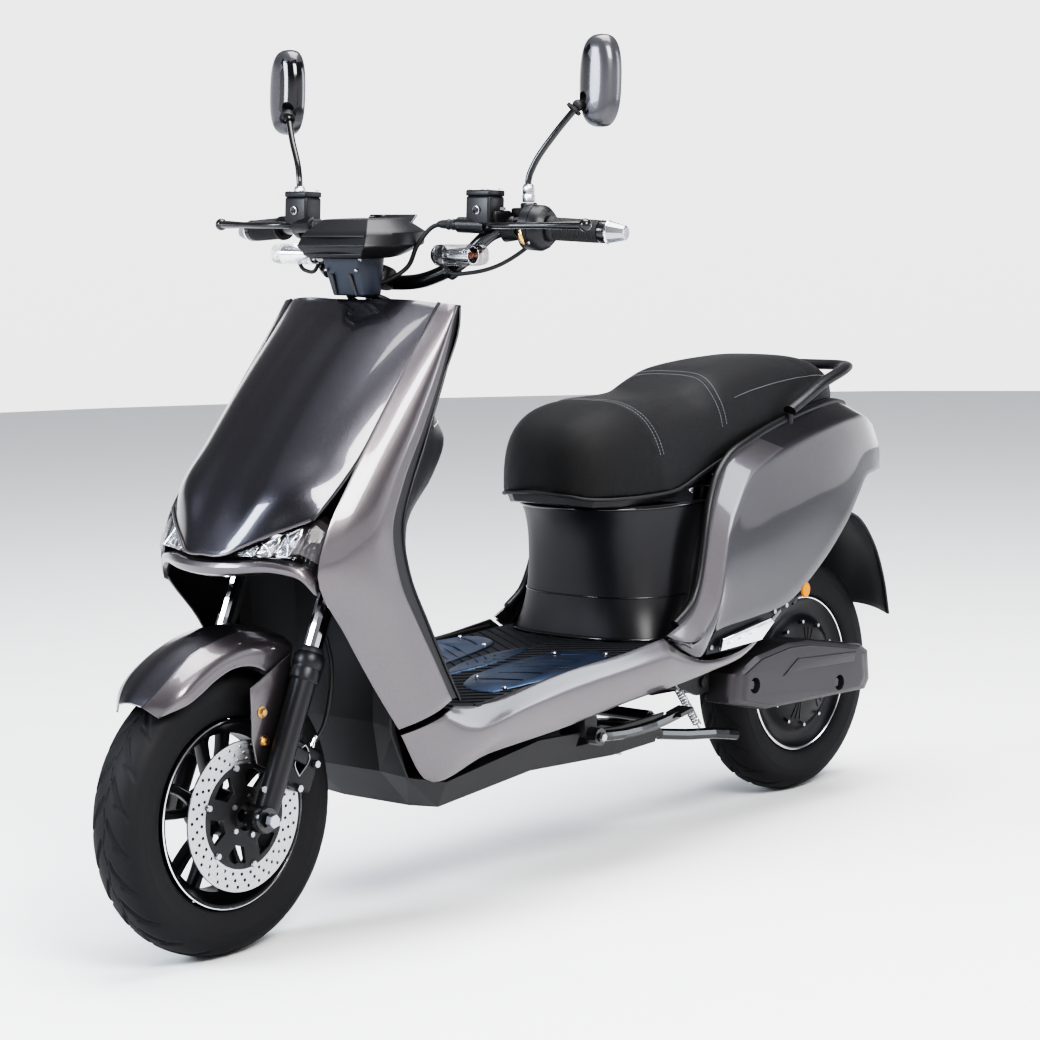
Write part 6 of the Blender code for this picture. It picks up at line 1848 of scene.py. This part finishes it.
class SCOOTER_OT_mirrors(PieceOperator, Operator):
    """Mirrors: nut, bent stem, capsule shell, rim and glass"""
    bl_idname = "scooter.mirrors"
    bl_label = "Mirrors"

    def execute(self, context):
        for side_name, side in SIDES:
            foot = Vector((.23 * side, -.244, 1.0435))
            head = Vector((.313 * side, -.183, 1.213))
            tip = head + Vector((-.022 * side, -.02, -.034))
            stem = pipe("stem", [(.23 * side, -.244, 1.056), (.2305 * side, -.2435, 1.078),
                (.235 * side, -.24, 1.092), (.264 * side, -.223, 1.14), tuple(tip)], .0048, 20, 9)
            nut = lathe("nut", [(0, 0), (.0095, 0), (.0098, .002), (.0098, .009), (.0088, .0105),
                (.0088, .0125), (.0092, .0135), (.0092, .021), (.007, .0255), (0, .026)], foot,
                (0, 0, 1), 6)
            soften(nut, .0005, 2)
            knob = lathe("knob", [(.0085 * sin(a), -.0085 * cos(a)) for a in np.linspace(0, pi, 13)],
                tip, (0, 0, 1), 24)
            place(joined(f"mirror_arm_{side_name}", [painted(stem, "black enamel"),
                painted(nut, "steel"), painted(knob, "boot rubber")]), f"mirror_stem_{side_name}", None,
                (f"mirror_stem_{side_name}",), "black_steel")

            turn = Matrix.Rotation(radians(3 * side), 4, "Z") @ Matrix.Rotation(radians(-4), 4, "X")
            base = Matrix.Translation(head + Vector((0, .012, 0))) @ turn

            def capsule(back, scale, count=56):
                ring = []
                for i in range(count):
                    angle = 2 * pi * i / count
                    c, s = cos(angle), sin(angle)
                    ring.append(base @ Vector((.032 * scale * abs(c) ** .75 * (1 if c >= 0 else -1),
                        -back, .066 * (1 - (1 - scale) * .55) * abs(s) ** .75 * (1 if s >= 0 else -1))))
                return ring

            shell_piece = closed_loft("shell", [capsule(b, s) for b, s in
                ((.0035, .86), (.0035, .94), (0.0, .955), (.0005, .985), (.004, 1.0), (.01, .995),
                (.015, .965), (.0195, .9), (.0235, .79), (.0268, .62), (.0284, .4), (.029, .12))], 50)
            painted(shell_piece, "mirror grey")
            shell_piece.data.materials.append(FINISHES["gloss black"])
            flat_turn = base.inverted()
            for face in shell_piece.data.polygons:
                spot = flat_turn @ face.center
                face.material_index = int(spot.x * side < -.006 and abs(spot.z) < .047 and spot.y <
                    -.003)
            glass = closed_loft("glass", [capsule(b, s) for b, s in
                ((.0034, .93), (.0018, .92), (.0012, .6), (.001, .2))], 40)
            room = lathe("stem_space", [(0, -.022), (.0098, -.022), (.0098, .022), (0, .022)], tip,
                (.01 * side, .012, .016), 28)
            cut_away(shell_piece, room)
            rim = lathe("socket", [(.01, -.001), (.0122, -.001), (.0122, .003), (.01, .003)], tip +
                Vector((-.004 * side, -.006, -.006)), (.01 * side, .012, .016), 28, True)
            place(joined(f"mirror_{side_name}", [shell_piece, painted(glass, "mirror glass"),
                painted(rim, "boot rubber")]), f"mirror_head_{side_name}", None,
                (f"mirror_head_{side_name}",), "grey_satin")
        return {"FINISHED"}


class SCOOTER_OT_display(PieceOperator, Operator):
    """Display housing with its stepped front, screen and screws, and the turn signals"""
    bl_idname = "scooter.display"
    bl_label = "Display and signals"

    def execute(self, context):
        levels = ((.9125, .038, -.382, -.3455), (.97, .044, -.4, -.34), (.967, .058, -.407, -.336),
            (.985, .084, -.418, -.29), (1.003, .08, -.408, -.282), (1.023, .056, -.384, -.306))
        rings = []
        for z, half, front, back in levels:
            corner = half * .8
            third = mixed(front, back, .3)
            far = mixed(front, back, .7)
            rings.append([(-corner, front, z), (corner, front, z), (half, third, z), (half, far, z),
                (corner, back, z), (-corner, back, z), (-half, far, z), (-half, third, z)])
        fine = resampled(rings, 4, sharp=(1, 3, 4))
        neck = closed_loft("neck", [list(map(tuple, r)) for r in fine[:5]], 25, .003)
        pod = closed_loft("pod", [list(map(tuple, r)) for r in fine[5:]], 25, .0045)
        parts = [painted(neck, "neck blue grey"), painted(pod, "satin black")]
        for k, z in enumerate((.9735, .9865, .9995)):
            width = float(np.interp(z, (.96, .985, 1.003), (.048, .066, .062)))
            y = float(np.interp(z, (.96, .985, 1.003), (-.4055, -.4185, -.4085)))
            step = pipe(f"step_{k}", [(-width, y + .001, z), (0, y - .0022, z), (width, y + .001, z)],
                .0022, 10, 6)
            parts.append(painted(step, "satin black"))
        screen = rounded_block("screen", (.094, .003, .048), (0, -.2985, 1.0105), (radians(-48), 0, 0),
            .0012)
        parts.append(painted(screen, "screen"))
        spots = [((x, y, z), (0, -.6, -.8)) for x, y, z in
            ((.046, -.404, .966), (-.046, -.404, .966), (.03, -.396, .95), (-.03, -.396, .95))]
        parts.append(heads("display_screws", spots, .003, .0022, "steel", 18, .75))
        for x in (-.02, .016):
            parts.append(painted(pipe("neck_line", [(x, -.3945, .944), (x * 1.05, -.3885, .928),
                (x * 1.1, -.3835, .914)], .0022, 10, 5), "grey satin"))
        place(joined("display_pod", parts), "steering", None, ("display_housing",), "black_plastic")

        for side_name, side in SIDES:
            def pod_ring(x, scale, count=28):
                ring = []
                for i in range(count):
                    c, s = cos(2 * pi * i / count), sin(2 * pi * i / count)
                    ring.append((x * side, -.3195 + .0185 * scale * abs(c) ** .6 *
                        (1 if c >= 0 else -1), .97 + .016 * scale * abs(s) ** .6 *
                        (1 if s >= 0 else -1)))
                return ring
            cover = closed_loft(f"signal_{side_name}", [pod_ring(x, s) for x, s in
                ((.125, .88), (.128, .98), (.14, 1.0), (.17, 1.0), (.195, .96), (.203, .86), (.207, .7),
                (.208, .5))], 50)
            place(cover, "steering", "signal cover", (f"turn_signal_{side_name}",), "clear_lens")
            cup_line = [(.0125, .06), (.0118, .05), (.0085, .012), (.004, .006), (.0035, .0065),
                (.0078, .0125), (.011, .05), (.0118, .06)]
            cup = painted(lathe("cup", cup_line, (.128 * side, -.3195, .97), (side, 0, 0), 32, True),
                "chrome")
            bulb = painted(lathe("bulb", [(0, 0), (.0042, .001), (.0055, .012), (.0042, .02),
                (0, .023)], (.142 * side, -.3195, .97), (side, 0, 0), 24), "orange reflector")
            base = painted(lathe("base", [(0, -.006), (.012, -.006), (.015, -.002), (.0155, .003),
                (.013, .006), (0, .006)], (.1225 * side, -.3195, .97), (side, 0, 0), 32), "gloss black")
            arm = painted(pipe("arm", ((.1225 * side, -.3195, .97), (.122 * side, -.308, .962),
                (.122 * side, -.2975, .951)), .0055, 14, 5), "black enamel")
            band = painted(lathe("band", [(.0114, -.007), (.015, -.007), (.0155, 0), (.015, .007),
                (.0114, .007)], (.122 * side, -.2935, .949), (.058 * side, .012, .04), 32, True),
                "black enamel")
            wire = painted(pipe("wire", ((.232 * side, -.252, .979), (.22 * side, -.262, .968),
                (.196 * side, -.282, .952), (.165 * side, -.302, .944), (.135 * side, -.312, .945),
                (.124 * side, -.314, .958)), .003, 12, 7), "boot rubber")
            place(joined(f"signal_inside_{side_name}", [cup, bulb, base, arm, band, wire]), "steering",
                slot="chrome")
        return {"FINISHED"}


# ---------------------------------------------------------------- rear suspension
class SCOOTER_OT_rear_suspension(PieceOperator, Operator):
    """Swing arm covers with recessed screws, and the shock with its coil spring"""
    bl_idname = "scooter.rear_suspension"
    bl_label = "Rear suspension"

    def execute(self, context):
        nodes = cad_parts
        painted(nodes["shock_body"], "gloss black")
        painted(nodes["shock_rod"], "chrome")
        outline = [(.338, .214), (.346, .262), (.4, .284), (.494, .294), (.56, .29), (.722, .26),
            (.746, .246), (.75, .196), (.736, .18), (.43, .19)]
        fine = resampled(outline + outline[:1], 6, sharp=tuple(range(11)))[:-1]
        middle = np.array((.545, .232))
        for side_name, side in SIDES:
            rings = []
            for x, shrink in ((.0912, .995), (.0925, 1.0), (.129, 1.0), (.137, .985), (.1425, .945),
                    (.1455, .885), (.146, .86), (.1478, .845), (.1484, .8)):
                rings.append([(x * side, *(middle + (p - middle) *
                    (shrink, shrink * .5 + .5 if shrink > .9 else shrink))) for p in fine])
            cover = closed_loft(f"arm_cover_{side_name}", rings, 32)
            wells = []
            for y, z in ((.4, .236), (.642, .205)):
                wells.append(lathe("well", [(0, -.014), (.0125, -.014), (.0135, .004), (0, .004)],
                    (.1484 * side, y, z), (side, 0, 0), 36))
            cut_away(cover, joined("wells", wells))
            painted(cover, "grey satin")
            spots = [((.1365 * side, y, z), (side, 0, 0)) for y, z in ((.4, .236), (.642, .205))]
            screws = heads("cover_screws", spots, .009, .006, "black enamel", 30, .8)
            ridge = plate("ridge", [(.478, .24), (.52, .264), (.69, .252), (.684, .236), (.532, .243)],
                .147 * side, .1506 * side, .0012)
            place(joined(f"arm_side_{side_name}", [cover, screws, painted(ridge, "grey satin")]),
                "swing_arm", None, (f"swing_cover_{side_name}",), "grey_satin")
        top, foot = Vector((0, .47, .6)), Vector((0, .415, .33))
        run = (foot - top).normalized()
        start, end = top + run * .04, foot - run * .0325
        side_a = Vector((1, 0, 0))
        side_b = run.cross(side_a)
        turns = sizes().coil_turns
        coil = []
        for t in np.linspace(0, 1, int(turns * 22)):
            angle = 2 * pi * turns * t
            coil.append(tuple(mixed(start + run * .004, end - run * .004, t) +
                (side_a * cos(angle) + side_b * sin(angle)) * .0215))
        spring = pipe("shock_coil", coil, .0036, 12, 1)
        place(spring, "shock_body", "silver", ("shock_spring",), "steel")
        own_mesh(spring)
        return {"FINISHED"}


# ---------------------------------------------------------------- seat
SEAT_STATIONS = (  # y, foot z, top z, half width
    (.028, .592, .636, .04), (.038, .58, .664, .068), (.06, .575, .69, .096),
    (.105, .574, .711, .122), (.165, .575, .717, .136), (.215, .579, .717, .141),
    (.262, .594, .717, .141), (.31, .609, .722, .139), (.35, .62, .737, .137),
    (.39, .63, .751, .134), (.44, .641, .758, .131), (.52, .653, .763, .124),
    (.6, .662, .763, .116), (.68, .67, .754, .102), (.722, .682, .738, .082))


def seat_surface(y, angle, grow=0.0):
    """A point of the seat's cover at a station along it and an angle over it."""
    table = np.array(SEAT_STATIONS)
    foot, top, half = (float(np.interp(y, table[:, 0], table[:, i])) for i in (1, 2, 3))
    c, s = cos(angle), max(0.0, sin(angle))
    return Vector(((half + grow) * abs(c) ** .55 * (1 if c >= 0 else -1), y, foot + (top - foot + grow)
        * s ** .7))


class SCOOTER_OT_seat(PieceOperator, Operator):
    """Padded two-step seat with a separate nose cover, seams and stitches"""
    bl_idname = "scooter.seat"
    bl_label = "Seat"

    def execute(self, context):
        stations = resampled(SEAT_STATIONS, 4)
        inset = .0015
        rings = []
        for y, foot, top, half in stations:
            ring = []
            for i in range(33):
                angle = pi * i / 32
                c, s = cos(angle), sin(angle)
                ring.append((max(.01, half - inset) * abs(c) ** .55 * (1 if c >= 0 else -1), y, foot +
                    (top - inset - foot) * max(0.0, s) ** .7))
            rings.append(ring)
        pad = closed_loft("seat_pad", rings, 60)
        rest = None
        remesh = pad.modifiers.new("even cells", "REMESH")
        remesh.mode = "VOXEL"
        remesh.voxel_size = .0055
        settled(pad, 0)
        count = len(pad.data.vertices)
        rest = np.empty(count * 3)
        pad.data.vertices.foreach_get("co", rest)
        rest = rest.reshape(-1, 3)
        held = pad.vertex_groups.new(name="held")
        table = np.array(SEAT_STATIONS)
        foot_z = np.interp(rest[:, 1], table[:, 0], table[:, 1])
        for i in np.nonzero(rest[:, 2] < foot_z + .01)[0]:
            held.add([int(i)], 1.0, "REPLACE")
        cloth = pad.modifiers.new("padding", "CLOTH")
        cloth.settings.use_pressure = True
        cloth.settings.uniform_pressure_force = 4.0
        cloth.settings.effector_weights.gravity = 0
        cloth.settings.vertex_group_mass = "held"
        cloth.settings.tension_stiffness = 40
        cloth.settings.compression_stiffness = 40
        cloth.settings.quality = 5
        cloth.point_cache.frame_start = 1
        cloth.point_cache.frame_end = 20
        scene = context.scene
        for step in range(1, 21):
            scene.frame_set(step)
        depsgraph = context.evaluated_depsgraph_get()
        swollen = bpy.data.meshes.new_from_object(pad.evaluated_get(depsgraph))
        pad.modifiers.clear()
        moved = np.empty(count * 3)
        swollen.vertices.foreach_get("co", moved)
        shift = moved.reshape(-1, 3) - rest
        length = np.linalg.norm(shift, axis=1, keepdims=True)
        cap = sizes().seat_swell
        shift *= np.minimum(1.0, cap / np.maximum(length, 1e-9)) * .75
        shift[:, 2] = np.where(rest[:, 2] < foot_z + .01, 0, shift[:, 2])
        pad.data = swollen
        scene.frame_set(1)
        points = rest + shift
        y = points[:, 1]
        seams = (.15, .372)
        across = np.abs(points[:, 0])
        for station in seams:
            bend = station + (.03 if station < .2 else -.02) * (across / .14) ** 2
            points[:, 2] -= .0026 * np.exp(-((y - bend) / .0045) ** 2) * (points[:, 2] > .63)
        pad.data.vertices.foreach_set("co", points.ravel())
        pad.vertex_groups.clear()
        smooth = pad.modifiers.new("relax", "SMOOTH")
        smooth.factor = .5
        smooth.iterations = 3
        finer = pad.modifiers.new("finer", "SUBSURF")
        finer.levels = finer.render_levels = 1
        settled(pad, 0)
        pad.data.shade_smooth()
        pad.data.materials.clear()
        pad.data.materials.append(FINISHES["seat cover"])
        pad.data.materials.append(FINISHES["seat nose"])
        for face in pad.data.polygons:
            centre = face.center
            nose = centre.y < .15 + .03 * (abs(centre.x) / .14) ** 2
            face.material_index = int(nose)
        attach(pad, "seat")
        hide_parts("seat_cushion")

        paths = []
        for station in (.156, .163, .366, .378):
            path = []
            for angle in np.linspace(.3, pi - .3, 50):
                p = seat_surface(station, angle)
                bend = (.03 if station < .2 else -.02) * (abs(p.x) / .14) ** 2
                q = seat_surface(station + bend, angle, .0016)
                path.append(q)
            paths.append(path)
        for side in (1, -1):
            path = []
            for y_at in np.linspace(.4, .7, 28):
                path.append(seat_surface(y_at, .6 if side > 0 else pi - .6, .0016))
            paths.append(path)
        surface = pad.evaluated_get(context.evaluated_depsgraph_get())
        laid = []
        for path in paths:
            row = []
            for p in path:
                centre = Vector((0, p.y, .64))
                ray = (p - centre).normalized()
                hit, where, normal, _ = surface.ray_cast(centre + ray * .4, -ray)
                row.append(tuple(where + normal * .0002) if hit else tuple(p))
            laid.append(row)
        thread = stitches("seat_stitches", laid, "thread", sizes().stitch_pitch, sizes().stitch_pitch *
            .62, .00055)
        place(thread, "seat", slot="seat_cover")
        rim_points = []
        for y_at, foot, _, half in resampled(SEAT_STATIONS, 2)[2:-1]:
            rim_points.append((half - .002, y_at, foot - .0005))
        rim_line = [(-x, y_, z) for x, y_, z in rim_points[::-1]] + rim_points
        rim = pipe("seat_welt", rim_line, .003, 12, 2)
        place(rim, "seat", "boot rubber", slot="seat_cover")
        return {"FINISHED"}


# ---------------------------------------------------------------- order of work
ORDER = ("stage", "front_panels", "inner_shield", "rear_body", "headlamps", "deck", "underside",
    "front_wheel", "rear_wheel", "fork", "handlebar", "hand_brakes", "mirrors", "display",
    "rear_suspension", "seat")


class SCOOTER_PT_panel(Panel):
    """Sidebar panel with every step in order"""
    bl_label = "Moped scooter"
    bl_idname = "SCOOTER_PT_panel"
    bl_space_type = "VIEW_3D"
    bl_region_type = "UI"
    bl_category = "Scooter"

    def draw(self, context):
        column = self.layout.column()
        for name in ORDER:
            column.operator(f"scooter.{name}")
        for group_name in ("scooter_looks", "scooter_sizes"):
            settings = getattr(context.scene, group_name)
            box = self.layout.box()
            for key in settings.bl_rna.properties.keys():
                if key not in ("rna_type", "name"):
                    box.prop(settings, key)


CLASSES = (ScooterLooks, ScooterSizes, SCOOTER_OT_stage, SCOOTER_OT_front_panels,
    SCOOTER_OT_inner_shield, SCOOTER_OT_rear_body, SCOOTER_OT_headlamps, SCOOTER_OT_deck,
    SCOOTER_OT_underside, SCOOTER_OT_front_wheel, SCOOTER_OT_rear_wheel, SCOOTER_OT_fork,
    SCOOTER_OT_handlebar, SCOOTER_OT_brakes, SCOOTER_OT_mirrors, SCOOTER_OT_display,
    SCOOTER_OT_rear_suspension, SCOOTER_OT_seat, SCOOTER_PT_panel)


def register():
    for kind in CLASSES:
        bpy.utils.register_class(kind)
    bpy.types.Scene.scooter_looks = PointerProperty(type=ScooterLooks)
    bpy.types.Scene.scooter_sizes = PointerProperty(type=ScooterSizes)


def unregister():
    del bpy.types.Scene.scooter_sizes
    del bpy.types.Scene.scooter_looks
    for kind in reversed(CLASSES):
        bpy.utils.unregister_class(kind)


def main():
    register()
    for name in ORDER:
        getattr(bpy.ops.scooter, name)()


if __name__ == "__main__":
    main()
